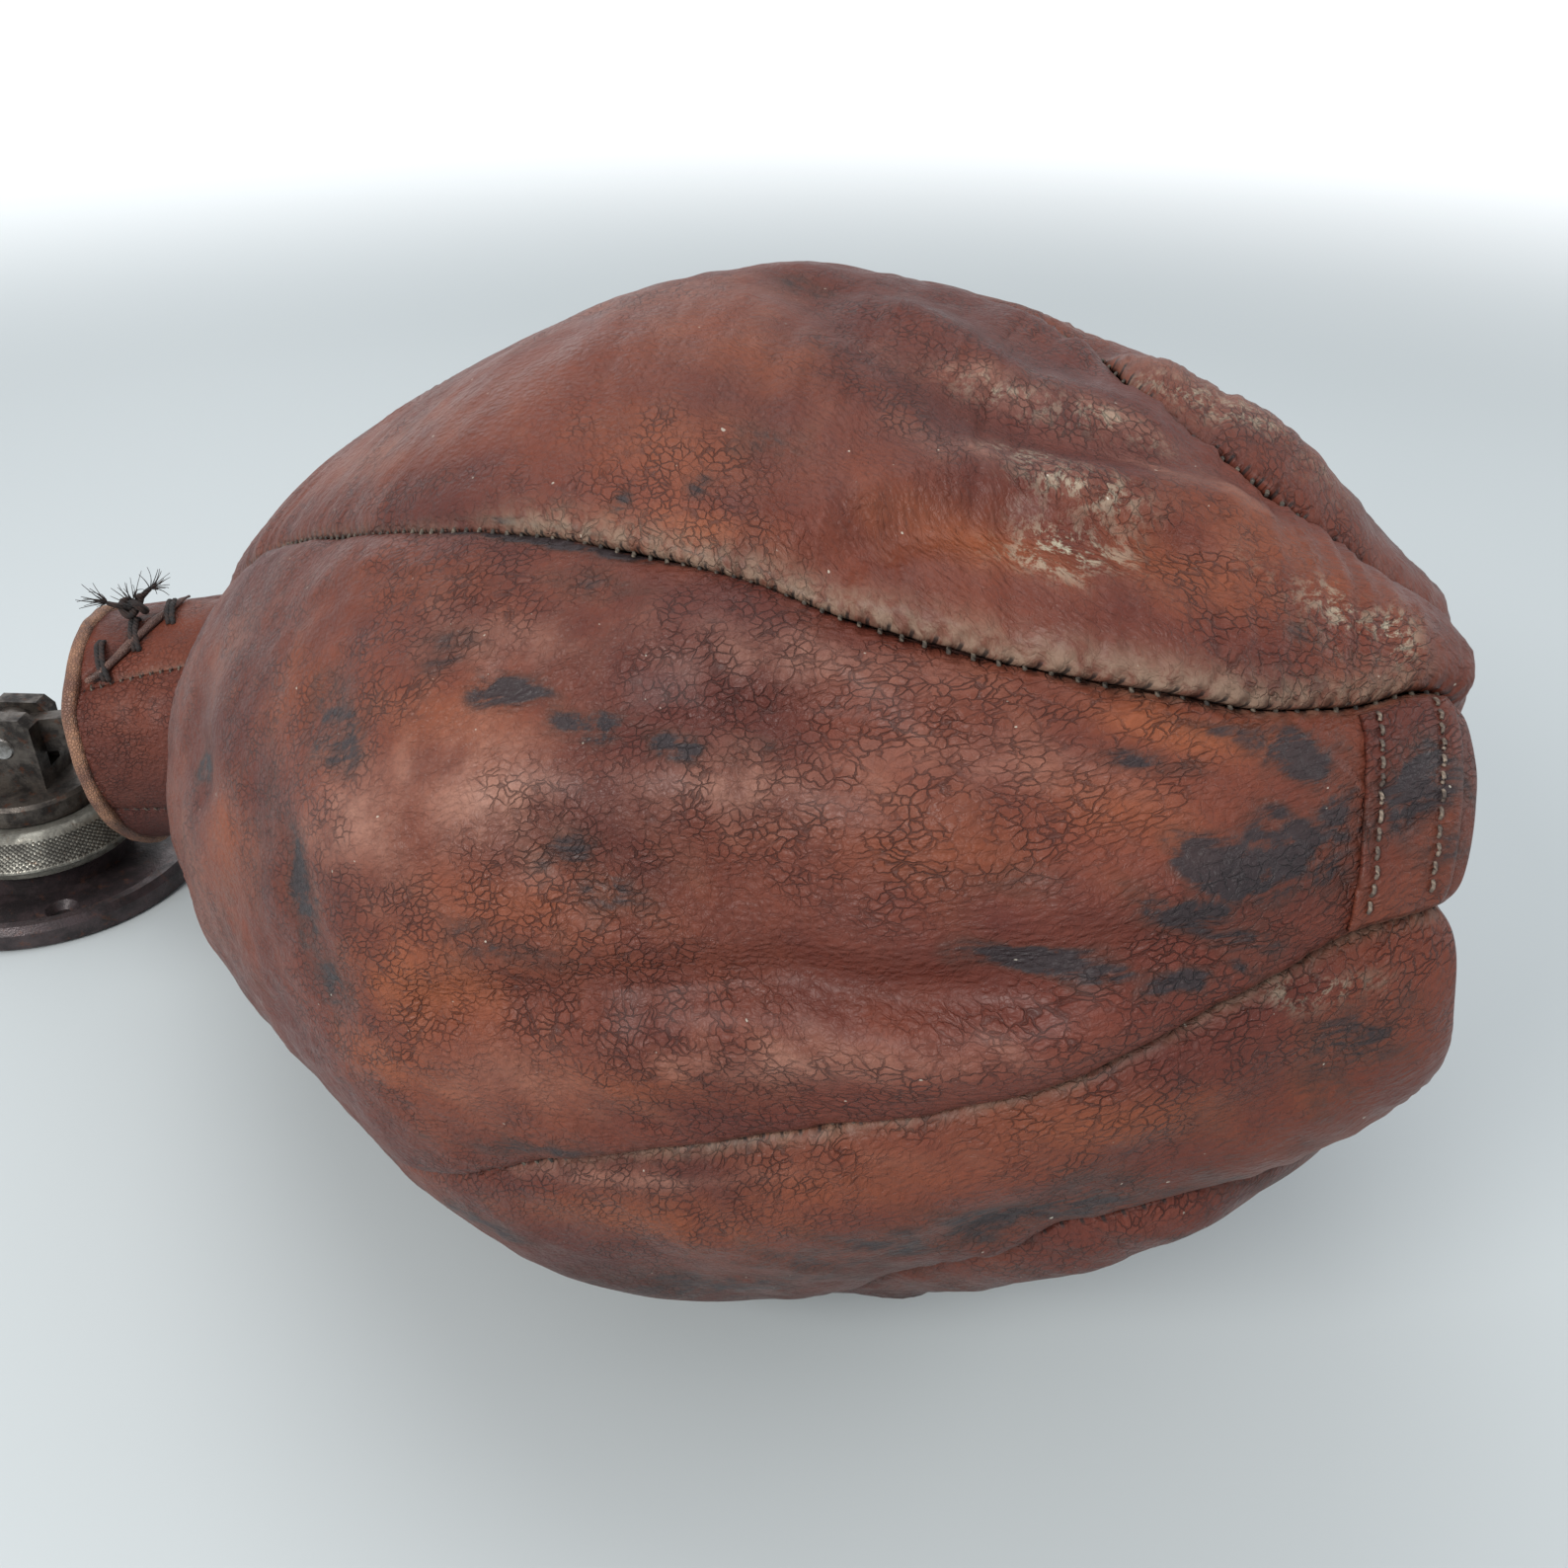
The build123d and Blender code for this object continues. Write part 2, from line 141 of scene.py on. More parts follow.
# ---- dark stains, with painted shade in the lacing slit and a painted shadow along the lower seam: gore, lam, psi, half length, half width (mm), strength ----
STAINS_AND_SHADE = (
    # the four TOP spots at lam -41 to -26 follow the lacing slit: painted shade in its opening
    (TOP, -41, 39, 4, 2.0, 0.9), (TOP, -35, 30, 4, 2.2, 0.9), (TOP, -30, 20, 4, 2.2, 0.9),
    (TOP, -26, 8, 4, 3, 0.8),
    (FRONT, 199, 58, 10, 12, 0.55), (FRONT, 209, 60, 6, 7, 0.7), (FRONT, 227, 51.5, 8, 7, 0.45),
    (FRONT, 196, 73, 8, 13, 0.75), (FRONT, 203, 82, 8, 10, 0.6), (FRONT, 137, 66, 8, 6, 0.75),
    (FRONT, 180, 66, 9, 18, 0.3), (FRONT, 150, 84, 20, 14, 0.3),
    (FRONT, 241, 54.0, 8, 2.8, 1.0), (FRONT, 256, 56.5, 7, 3.0, 1.0), (FRONT, 270, 57.3, 6, 2.2, 0.85),
    (FRONT, 283, 56.0, 5, 1.8, 0.5), (FRONT, 256, 66.5, 11, 6, 0.5), (FRONT, 262, 70, 9, 5, 0.5),
    (FRONT, 242, 75, 9, 4, 0.55), (FRONT, 249, 76.3, 7, 3, 0.45), (FRONT, 250, 44, 12, 3, 0.4),
    (FRONT, 313, 75, 6, 2.6, 1.0), (FRONT, 319, 76.6, 4, 2, 0.7), (FRONT, 326, 77.4, 4.5, 2.6, 1.0),
    (FRONT, 330, 63.5, 7, 6, 1.0), (FRONT, 334, 61, 6, 7, 0.9), (FRONT, 326, 69, 6, 3.5, 0.9),
    (FRONT, 335, 48.5, 6, 5, 0.85), (FRONT, 328, 47, 5, 2.6, 0.5), (FRONT, 320, 52.3, 6, 2.4, 0.6),
    (FRONT, 340, 55, 5, 9, 0.6), (FRONT, 332, 72, 5, 3, 0.6), (FRONT, 310, 66, 9, 4, 0.35),
    # (FRONT, 240, 97) is a painted shadow along the front gore's edge at the lower seam
    (FRONT, 240, 97, 20, 3.5, 0.5), (FRONT, 348, 49, 4.5, 7, 0.85), (FRONT, 352, 58, 4, 5, 0.5),
    # (FRONT, 235, 40.4) and (TOP, 228, 39.2) darken both edges of the upper seam
    (FRONT, 235, 40.4, 34, 1.6, 0.9), (TOP, 228, 39.2, 26, 0.9, 0.6),
    (TOP, 265, 27, 6, 5, 0.5), (TOP, 236, -2, 9, 4, 0.45), (TOP, 247, 36, 2.5, 3, 0.6),
    (TOP, 258, 33, 2.5, 4, 0.5),
    (TOP, 333, 31, 3.5, 3.5, 0.45), (TOP, 120, 10, 30, 20, 0.3), (BOTTOM, 300, 116, 40, 12, 0.55),
    (BOTTOM, 210, 112, 20, 8, 0.6), (BOTTOM, 345, 92, 8, 12, 0.5), (BOTTOM, 250, 124, 45, 14, 0.5),
    (UNDER, 240, 160, 110, 40, 0.6), (BACK, 210, 250, 30, 20, 0.5), (BACK, 300, 230, 18, 14, 0.6),
    (BACK_TOP, 230, -50, 24, 14, 0.4), (BACK_TOP, 150, -60, 30, 16, 0.4), (BACK_TOP, 320, -50, 14, 12, 0.55),
)
# ---- orange rubbed leather ----
WARMS = (
    (FRONT, 304, 64, 12, 7, 0.5), (FRONT, 319, 58, 8, 6, 0.6), (FRONT, 324, 48, 9, 3.5, 1.0),
    (FRONT, 225, 80, 14, 8, 0.9), (FRONT, 214, 88, 12, 7, 0.7), (FRONT, 250, 71, 18, 6, 0.5),
    (FRONT, 262, 88, 16, 6, 0.5), (FRONT, 180, 56, 12, 10, 0.4), (FRONT, 160, 72, 14, 12, 0.5),
    (FRONT, 230, 57, 14, 5, 0.5), (FRONT, 215, 46, 20, 6, 0.3), (TOP, 261, 37, 11, 4, 0.8),
    (TOP, 250, 30, 16, 9, 0.6), (TOP, 300, 31, 11, 5, 0.9), (TOP, 330, 18, 14, 9, 0.6),
    (TOP, 320, 28, 12, 8, 0.7),
    (TOP, 255, 16, 14, 9, 0.35), (BOTTOM, 250, 106, 22, 7, 0.7), (BOTTOM, 320, 97, 16, 7, 0.6),
    (BOTTOM, 290, 103, 18, 6, 0.4), (BACK, 180, 230, 24, 14, 0.6), (BACK, 270, 262, 20, 14, 0.5),
    (BACK_TOP, 260, -30, 22, 12, 0.5), (BACK_TOP, 200, -74, 24, 14, 0.5), (UNDER, 150, 190, 30, 16, 0.4),
)
# ---- pale rubbed leather, and painted highlight on the crests of folds and on a seam's lip ----
PALES_AND_HIGHLIGHTS = (
    (FRONT, 216, 66, 14, 9, 0.8), (FRONT, 241, 63, 15, 9, 0.9), (FRONT, 232, 50, 14, 5, 0.5),
    (FRONT, 279, 60, 14, 4.5, 0.7), (FRONT, 283, 47.5, 16, 4, 0.6), (FRONT, 290, 86, 20, 3.5, 0.7),
    (FRONT, 310, 55, 12, 4, 0.4), (FRONT, 130, 78, 12, 16, 0.4), (FRONT, 140, 52, 14, 12, 0.35),
    (FRONT, 244, 88, 14, 6, 0.4), (TOP, 289, 7, 9, 4, 0.7), (TOP, 305, 6.5, 10, 3, 0.7),
    (TOP, 297, 21, 14, 3, 0.6),
    (TOP, 200, 8, 40, 14, 0.45), (TOP, 170, 28, 24, 8, 0.4), (TOP, 314, 12, 9, 2.5, 0.5),
    # (BACK_TOP, 300, -14) and (BACK_TOP, 318, -12) are painted highlight on that gore's ridge, and (BOTTOM,
    # 250, 101) is a painted highlight on the bottom gore's lip at the lower seam
    (BACK_TOP, 300, -14, 14, 5, 0.7), (BACK_TOP, 318, -12, 10, 4, 0.6), (BOTTOM, 250, 101, 26, 1.8, 0.6),
    (BACK_TOP, 170, -30, 30, 14, 0.4), (BACK, 240, 248, 26, 9, 0.4),
)
# ---- white bloom in the grain ----
BLOOMS = (
    (TOP, 309, 29, 5, 4, 1.0), (TOP, 306, 22, 6, 3, 0.6), (TOP, 301, 20, 6, 2.5, 0.5),
    (TOP, 337, 25, 6, 4, 0.6),
    (TOP, 343, 23, 4, 3.5, 0.75), (TOP, 290, 8, 9, 3, 0.4), (TOP, 304, 7, 8, 2.5, 0.45),
    (BACK_TOP, 312, -10, 12, 3, 0.5),
    (BACK, 255, 240, 8, 5, 0.5), (BOTTOM, 341, 82, 5, 2, 0.4),
)
# ---- dust along the seams: gore, seam side (0 or 1), from lam, to lam, width, strength ----
DUSTS = (
    (TOP, 1, 212, 345, 4.2, 1.0), (FRONT, 0, 300, 350, 1.6, 0.5), (BOTTOM, 0, 225, 352, 1.8, 0.7),
    (FRONT, 1, 240, 352, 0.9, 0.4), (TOP, 0, 290, 345, 2.0, 0.4), (BACK, 0, 150, 345, 2.5, 0.6),
    (BACK_TOP, 0, 120, 345, 3.5, 0.7), (TOP, 1, -50, 212, 1.6, 0.35),
)


# ================================================================ geometry helpers
def direction(azimuth, rise):
    a, b = math.radians(azimuth), math.radians(rise)
    return np.array([math.cos(b) * math.cos(a), math.cos(b) * math.sin(a), math.sin(b)])


def axes(along):
    """An axis, its upper side and its side towards -Y."""
    level = np.cross([0.0, 0.0, 1.0], along)
    up = np.cross(along, level / np.linalg.norm(level))
    return along, up, np.cross(along, up)


NECK_AXES = axes(direction(0.0, NECK_TILT))
BAG_AXES = axes(direction(-BAG_BEND, BAG_TILT))
FLEX = PIVOT + FLEX_S * NECK_AXES[0]


def ease(x, low, high):
    t = np.clip((x - low) / (high - low), 0.0, 1.0)
    return t * t * (3 - 2 * t)


def through(x, knots):
    """A smooth curve through (x, y) knots that doesn't overshoot between them."""
    kx, ky = np.array(knots, float).T
    step = np.diff(kx)
    slope = np.diff(ky) / step
    tangent = np.zeros(len(kx))
    same = slope[:-1] * slope[1:] > 0
    tangent[1:-1][same] = 2 * slope[:-1][same] * slope[1:][same] / (slope[:-1] + slope[1:])[same]
    tangent[0], tangent[-1] = slope[0], slope[-1]
    x = np.clip(x, kx[0], kx[-1])
    i = np.clip(np.searchsorted(kx, x) - 1, 0, len(step) - 1)
    t = (x - kx[i]) / step[i]
    u = 1 - t
    ends = ky[i] * u * u * (1 + 2 * t) + ky[i + 1] * t * t * (3 - 2 * t)
    return ends + step[i] * (tangent[i] * t * u * u - tangent[i + 1] * t * t * u)


def noise(points, scale, seed):
    """Smooth 3-D noise from -1 to 1, with features about scale long."""
    table = np.random.default_rng(seed).random((32, 32, 32)) * 2 - 1
    q = points / scale
    base = np.floor(q).astype(int)
    f = q - base
    f = f * f * (3 - 2 * f)
    total = 0.0
    for dx in (0, 1):
        for dy in (0, 1):
            for dz in (0, 1):
                cell = (base + (dx, dy, dz)) % 32
                wx = f[..., 0] if dx else 1 - f[..., 0]
                wy = f[..., 1] if dy else 1 - f[..., 1]
                wz = f[..., 2] if dz else 1 - f[..., 2]
                total = total + wx * wy * wz * table[cell[..., 0], cell[..., 1], cell[..., 2]]
    return total


def skew(lam, psi, r):
    """How far the slanted tail shifts a point along the bag."""
    side = np.cos(np.radians(psi - TAIL_SKEW_DEG))
    return TAIL_SKEW * side * np.minimum(r / TAIL_SKEW_R, 1.0) * ease(lam, 285.0, 337.0)


def place(lam, psi, r):
    """Points of the casing from their length along it, angle round it and radius."""
    lam = lam + skew(lam, psi, r)
    turn = ease(lam, -BEND_REACH, BEND_REACH)[..., None]
    t = np.clip((lam + BEND_REACH) / (2 * BEND_REACH), 0.0, 1.0)[..., None]
    near = FLEX - BEND_REACH * NECK_AXES[0]
    far = FLEX + BEND_REACH * BAG_AXES[0]
    centre = (1 - t) ** 2 * near + 2 * t * (1 - t) * FLEX + t * t * far
    centre = centre + np.minimum(lam + BEND_REACH, 0.0)[..., None] * NECK_AXES[0]
    centre = centre + np.maximum(lam - BEND_REACH, 0.0)[..., None] * BAG_AXES[0]
    up = NECK_AXES[1] * (1 - turn) + BAG_AXES[1] * turn
    side = NECK_AXES[2] * (1 - turn) + BAG_AXES[2] * turn
    squat = (1 - (1 - BAG_SQUAT) * ease(lam, 0.0, 70.0))[..., None]
    a = np.radians(psi)[..., None]
    return centre + r[..., None] * (np.cos(a) * squat * up + np.sin(a) / squat * side)


def rest_on_floor(points, thickness):
    """Lifts what would be below the floor, softly, and keeps an inner skin above the outer one."""
    z = points[..., 2] - thickness
    points[..., 2] = (z + np.sqrt(z * z + FLOOR_SOFT ** 2)) / 2 + thickness
    return points


def near_line(lam, psi, r, line):
    """Distance in millimetres from each point to a line drawn in (lam, psi)."""
    best = np.full(lam.shape, 1e9)
    y = np.radians(psi) * r
    for (la, pa), (lb, pb) in zip(line[:-1], line[1:]):
        ya, yb = math.radians(pa) * r, math.radians(pb) * r
        dx, dy = lb - la, yb - ya
        t = np.clip(((lam - la) * dx + (y - ya) * dy) / (dx * dx + dy * dy), 0.0, 1.0)
        best = np.minimum(best, np.hypot(lam - la - t * dx, y - ya - t * dy))
    return best


def spots(table, gore, lam, psi, r):
    """Soft patches from a table, 0 to 1, with ragged edges."""
    y = np.radians(psi) * r
    ragged = 1 + 0.45 * noise(np.stack([lam, y, 0 * lam], -1), 5.0, 71)
    total = np.zeros(lam.shape)
    for owner, l0, p0, length, width, strength in table:
        if owner != gore:
            continue
        away = np.hypot((lam - l0) / length, (y - math.radians(p0) * r) / width) * ragged
        total = np.maximum(total, strength * np.exp(-away ** 2))
    return total


# ================================================================ the casing's surface
class Rows:
    """The outline, cut into even rows: length, radius, outward direction and progress."""

    def __init__(self, step=ROW_STEP):
        knots = np.array(OUTLINE)
        run = np.r_[0.0, np.cumsum(np.hypot(*np.diff(knots, axis=0).T))]
        s = np.linspace(0.0, run[-1], int(round(run[-1] / step)) + 1)
        self.lam = through(s, np.c_[run, knots[:, 0]])
        self.r = through(s, np.c_[run, knots[:, 1]])
        self.run = s
        dl, dr = np.gradient(self.lam, s), np.gradient(self.r, s)
        size = np.hypot(dl, dr)
        self.out_lam, self.out_r = -dr / size, dl / size
        self.progress = np.maximum.accumulate(self.lam)

    def keep(self, mask):
        for name in ("lam", "r", "run", "out_lam", "out_r", "progress"):
            setattr(self, name, getattr(self, name)[mask])
        return self


def seam_psi(index, progress):
    turn, index = divmod(index, len(SEAMS))
    return through(progress, SEAMS[index]) + 360.0 * turn


def on_bag(lam):
    """0 on the neck and 1 on the round of the bag."""
    return ease(lam, -5.0, 60.0)


def on_tail(lam):
    """0 before the gathered tail and 1 at its end."""
    return ease(lam, 322.0, 345.0)


def seam_depth(bag, tail):
    return 0.9 + 1.7 * bag + 0.6 * tail


def relief(gore, lam, psi, r, to_first, to_second, across):
    """How far the worn skin stands off the even outline: puff, seams, folds and wrinkles."""
    tail, bag = on_tail(lam), on_bag(lam)
    nearest = np.minimum(to_first, to_second)
    lift = -seam_depth(bag, tail) * np.exp(-nearest / (GROOVE_WIDTH + 0.4 * tail))
    lift += (0.3 + 1.2 * bag + 0.9 * tail) * np.sin(np.pi * across) ** 0.8
    if gore == TOP:
        lift += 1.3 * bag * ease(lam, 210.0, 260.0) * np.exp(-(to_second / 6.0) ** 2)
    if gore == FRONT:
        lift += 0.8 * bag * np.exp(-(to_second / 7.0) ** 2)
    wrap = psi - 360.0 if gore in (TOP, BACK_TOP) else psi
    for owner, height, width, line in FOLDS:
        if owner == gore:
            lift += height * np.exp(-(near_line(lam, wrap, r, line) / width) ** 2)
    y = np.radians(psi) * r
    flat = np.stack([lam, y, np.full_like(lam, 37.0 * gore)], -1)
    lift += bag * (1.1 * noise(flat, 34.0, 11) + 0.5 * noise(flat, 13.0, 12))
    lift += 0.22 * noise(flat, 5.0, 13) * (1 - 0.5 * tail)
    # long fine wrinkles, and short ones square to the upper seam
    long_mask = ease(noise(flat, 26.0, 21), -0.1, 0.5) * bag
    stretched = flat * (0.16, 1.0, 1.0)
    lift += 0.42 * long_mask * noise(stretched, 2.1, 22)
    square = np.exp(-(nearest / 16.0) ** 2) * ease(lam, 235.0, 275.0) * (gore in (TOP, BOTTOM, BACK))
    lift += 0.5 * square * noise(flat * (1.0, 0.18, 1.0), 2.6, 23)
    # creases where the neck bends
    lift += 0.6 * np.exp(-((lam - 8.0) / 22.0) ** 2) * noise(flat * (1.0, 0.25, 1.0), 6.0, 24)
    return lift


def skin(gore, rows, across, thickness, edge_lift=0.0):
    """Points and painted values of one gore, one row of points per outline row."""
    first = seam_psi(gore, rows.progress)[:, None]
    second = seam_psi(gore + 1, rows.progress)[:, None]
    r = rows.r[:, None] + 0 * first
    width = np.radians(second - first) * r
    gap = SEAM_GAP / width
    u = gap + (1 - 2 * gap) * across[None, :]
    psi = first + (second - first) * u
    lam = rows.progress[:, None] + 0 * psi
    r = r + 0 * psi
    to_first, to_second = u * width, (1 - u) * width
    lift = relief(gore, lam, psi, r, to_first, to_second, u) + edge_lift - thickness
    out_l, out_r = rows.out_lam[:, None], rows.out_r[:, None]
    points = place(rows.lam[:, None] + lift * out_l, psi, r + lift * out_r)
    rest_on_floor(points, thickness)
    wrap = psi - 360.0 if gore in (TOP, BACK_TOP) else psi
    dust = np.zeros(lam.shape)
    for owner, side, low, high, reach, strength in DUSTS:
        if owner == gore:
            away = to_second if side else to_first
            span = ease(lam, low, low + 25) * (1 - ease(lam, high, high + 8))
            dust = np.maximum(dust, strength * span * np.exp(-(away / reach) ** 2))
    values = {
        "stain_and_shade": spots(STAINS_AND_SHADE, gore, lam, wrap, r),
        "warm": spots(WARMS, gore, lam, wrap, r),
        "pale": spots(PALES_AND_HIGHLIGHTS, gore, lam, wrap, r),
        "bloom": spots(BLOOMS, gore, lam, wrap, r),
        "dust": dust,
        "seam_away": np.minimum(to_first, to_second),
        "seam_run": rows.run[:, None] + 0 * psi,
        # painted shade: 0 from 95 mm up and 1 near the floor, to darken the leather low down
        "low": ease(-points[..., 2], -95.0, -15.0),
    }
    y = (u - 0.5) * width
    coords = np.stack([rows.run[:, None] + 0 * psi, y, np.full_like(y, 130.0 * (gore + 1))], -1)
    return points, values, coords * MM


# ================================================================ mesh helpers
def make_object(name, points, faces, values=None, coords=None):
    """A mesh object from points in millimetres."""
    mesh = bpy.data.meshes.new(name)
    mesh.from_pydata((np.asarray(points) * MM).tolist(), [], faces)
    mesh.validate()
    for key, value in (values or {}).items():
        mesh.attributes.new(key, "FLOAT", "POINT").data.foreach_set("value", np.asarray(value, np.float32))
    if coords is not None:
        layer = mesh.attributes.new("skin", "FLOAT_VECTOR", "POINT")
        layer.data.foreach_set("vector", np.asarray(coords, np.float32).ravel())
    mesh.polygons.foreach_set("use_smooth", [True] * len(mesh.polygons))
    mesh.update()
    piece = bpy.data.objects.new(name, mesh)
    bpy.context.scene.collection.objects.link(piece)
    return piece


def ring_faces(rows, size):
    """Quads between closed rings of points."""
    faces = []
    for i in range(rows - 1):
        a, b = i * size, (i + 1) * size
        for j in range(size):
            k = (j + 1) % size
            faces.append((a + j, b + j, b + k, a + k))
    return faces


def tube_faces(rings, size):
    """Quads between closed rings of points, and a flat face at each end."""
    faces = ring_faces(rings, size)
    faces.append(tuple(range(size)))
    faces.append(tuple(range((rings - 1) * size, rings * size))[::-1])
    return faces


def torus_faces(rings, size):
    """Quads between closed rings that also close on themselves."""
    faces = []
    for i in range(rings):
        for j in range(size):
            i2, j2 = (i + 1) % rings, (j + 1) % size
            faces.append((i * size + j, i2 * size + j, i2 * size + j2, i * size + j2))
    return faces


def shell_faces(rows, outer, inner):
    """Faces of a strip with an outer and a coarser inner skin, and two edge columns between."""
    size = outer + inner + 2
    faces = ring_faces(rows, size)
    ratio = (outer - 1) // (inner - 1)
    for base, flip in ((0, False), ((rows - 1) * size, True)):
        for k in range(inner - 1):
            top = [base + k * ratio + n for n in range(ratio + 1)]
            under = base + outer + 1 + (inner - 1 - k)
            face = top + [under - 1, under]
            faces.append(tuple(face if not flip else face[::-1]))
        right = [base + outer - 1, base + outer, base + outer + 1]
        left = [base + size - 1, base, base + size - 2]
        faces.append(tuple(right if not flip else right[::-1]))
        faces.append(tuple(left if not flip else left[::-1]))
    return faces


def columns(count):
    """Positions from 0 to 1, closer together at both ends."""
    x = np.linspace(0.0, 1.0, count)
    return 0.72 * (1 - np.cos(np.pi * x)) / 2 + 0.28 * x


OUTER_COLUMNS = 73
INNER_COLUMNS = 19
EDGE_TURN = 1.4             # how far a gore's edge turns into the seam


def build_gore(gore):
    """One gore: outer skin, both edges turned in, and an inner skin."""
    rows = Rows()
    across = columns(OUTER_COLUMNS)
    inner_across = across[:: (OUTER_COLUMNS - 1) // (INNER_COLUMNS - 1)]
    parts = (
        skin(gore, rows, across, 0.0),
        skin(gore, rows, np.array([1.0]), 0.0, -EDGE_TURN),
        skin(gore, rows, inner_across[::-1], LEATHER),
        skin(gore, rows, np.array([0.0]), 0.0, -EDGE_TURN),
    )
    points = np.concatenate([p[0] for p in parts], axis=1)
    coords = np.concatenate([p[2] for p in parts], axis=1)
    values = {k: np.concatenate([p[1][k] for p in parts], axis=1).ravel() for k in parts[0][1]}
    faces = shell_faces(points.shape[0], OUTER_COLUMNS, INNER_COLUMNS)
    return make_object(
        "leather_" + GORES[gore], points.reshape(-1, 3), faces, values, coords.reshape(-1, 3)
    )


def tube_along(path, radius, sides=7):
    """Points and quads of a round tube along a path, with closed ends, its radius given for each point or
    for all.
    """
    path = np.asarray(path, float)
    tangent = np.gradient(path, axis=0)
    tangent /= np.linalg.norm(tangent, axis=1)[:, None]
    side = np.cross(tangent, [0.31, 0.52, 0.79])
    side /= np.linalg.norm(side, axis=1)[:, None]
    other = np.cross(tangent, side)
    a = np.linspace(0, 2 * np.pi, sides, endpoint=False)
    radius = np.broadcast_to(radius, (len(path),))
    ring = np.cos(a)[None, :, None] * side[:, None] + np.sin(a)[None, :, None] * other[:, None]
    points = path[:, None] + ring * radius[:, None, None]
    return points.reshape(-1, 3), tube_faces(len(path), sides)


def joined(name, pieces):
    """One object from several (points, faces) pairs."""
    points, faces, start = [], [], 0
    for p, f in pieces:
        points.append(p)
        faces.extend(tuple(v + start for v in face) for face in f)
        start += len(p)
    return make_object(name, np.concatenate(points), faces)


def outward(piece):
    """Turns every face of a closed piece outward."""
    edit = bmesh.new()
    edit.from_mesh(piece.data)
    bmesh.ops.recalc_face_normals(edit, faces=edit.faces)
    edit.to_mesh(piece.data)
    edit.free()
    return piece


# ================================================================ materials
class Net:
    """A material's node tree, with short names for the nodes used here."""

    def __init__(self, name):
        self.material = bpy.data.materials.new(name)
        self.material.use_nodes = True
        self.tree = self.material.node_tree
        self.shader = self.tree.nodes["Principled BSDF"]

    def add(self, kind, inputs, **settings):
        node = self.tree.nodes.new(kind)
        for key, value in settings.items():
            setattr(node, key, value)
        for key, value in inputs.items():
            self.feed(node.inputs[key], value)
        return node

    def feed(self, socket, value):
        if isinstance(value, bpy.types.NodeSocket):
            self.tree.links.new(value, socket)
        elif value is not None:
            socket.default_value = value

    def attribute(self, name, vector=False):
        node = self.add("ShaderNodeAttribute", {}, attribute_name=name)
        return node.outputs["Vector" if vector else "Fac"]

    def where(self):
        return self.add("ShaderNodeTexCoord", {}).outputs["Object"]

    def noise(self, vector, scale, detail=3.0, rough=0.55):
        sockets = {"Vector": vector, "Scale": scale, "Detail": detail, "Roughness": rough}
        return self.add("ShaderNodeTexNoise", sockets).outputs["Fac"]

    def cells(self, vector, scale, feature="DISTANCE_TO_EDGE"):
        node = self.add("ShaderNodeTexVoronoi", {"Vector": vector, "Scale": scale}, feature=feature)
        return node.outputs["Distance"]

    def math(self, operation, a, b, clamp=False):
        node = self.add("ShaderNodeMath", {0: a, 1: b}, operation=operation, use_clamp=clamp)
        return node.outputs[0]

    def times(self, a, b, clamp=False):
        return self.math("MULTIPLY", a, b, clamp)

    def plus(self, a, b, clamp=False):
        return self.math("ADD", a, b, clamp)

    def ramp(self, value, low, high, to_low=0.0, to_high=1.0):
        sockets = {"Value": value, "From Min": low, "From Max": high, "To Min": to_low, "To Max": to_high}
        return self.add("ShaderNodeMapRange", sockets, interpolation_type="SMOOTHSTEP").outputs["Result"]

    def mix(self, factor, a, b, blend="MIX"):
        node = self.add("ShaderNodeMix", {0: factor, 6: a, 7: b}, data_type="RGBA", blend_type=blend)
        return node.outputs[2]

    def stretch(self, vector, scale):
        node = self.add("ShaderNodeVectorMath", {0: vector, 1: scale}, operation="MULTIPLY")
        return node.outputs[0]

    def shift(self, vector, by):
        return self.add("ShaderNodeVectorMath", {0: vector, 1: by}, operation="ADD").outputs[0]

    def bump(self, height, distance, strength=1.0):
        sockets = {"Height": height, "Distance": distance, "Strength": strength}
        return self.add("ShaderNodeBump", sockets).outputs["Normal"]

    def finish(self, **sockets):
        for key, value in sockets.items():
            self.feed(self.shader.inputs[key.replace("_", " ")], value)
        return self.material


def rgb(r, g, b):
    return (r, g, b, 1.0)


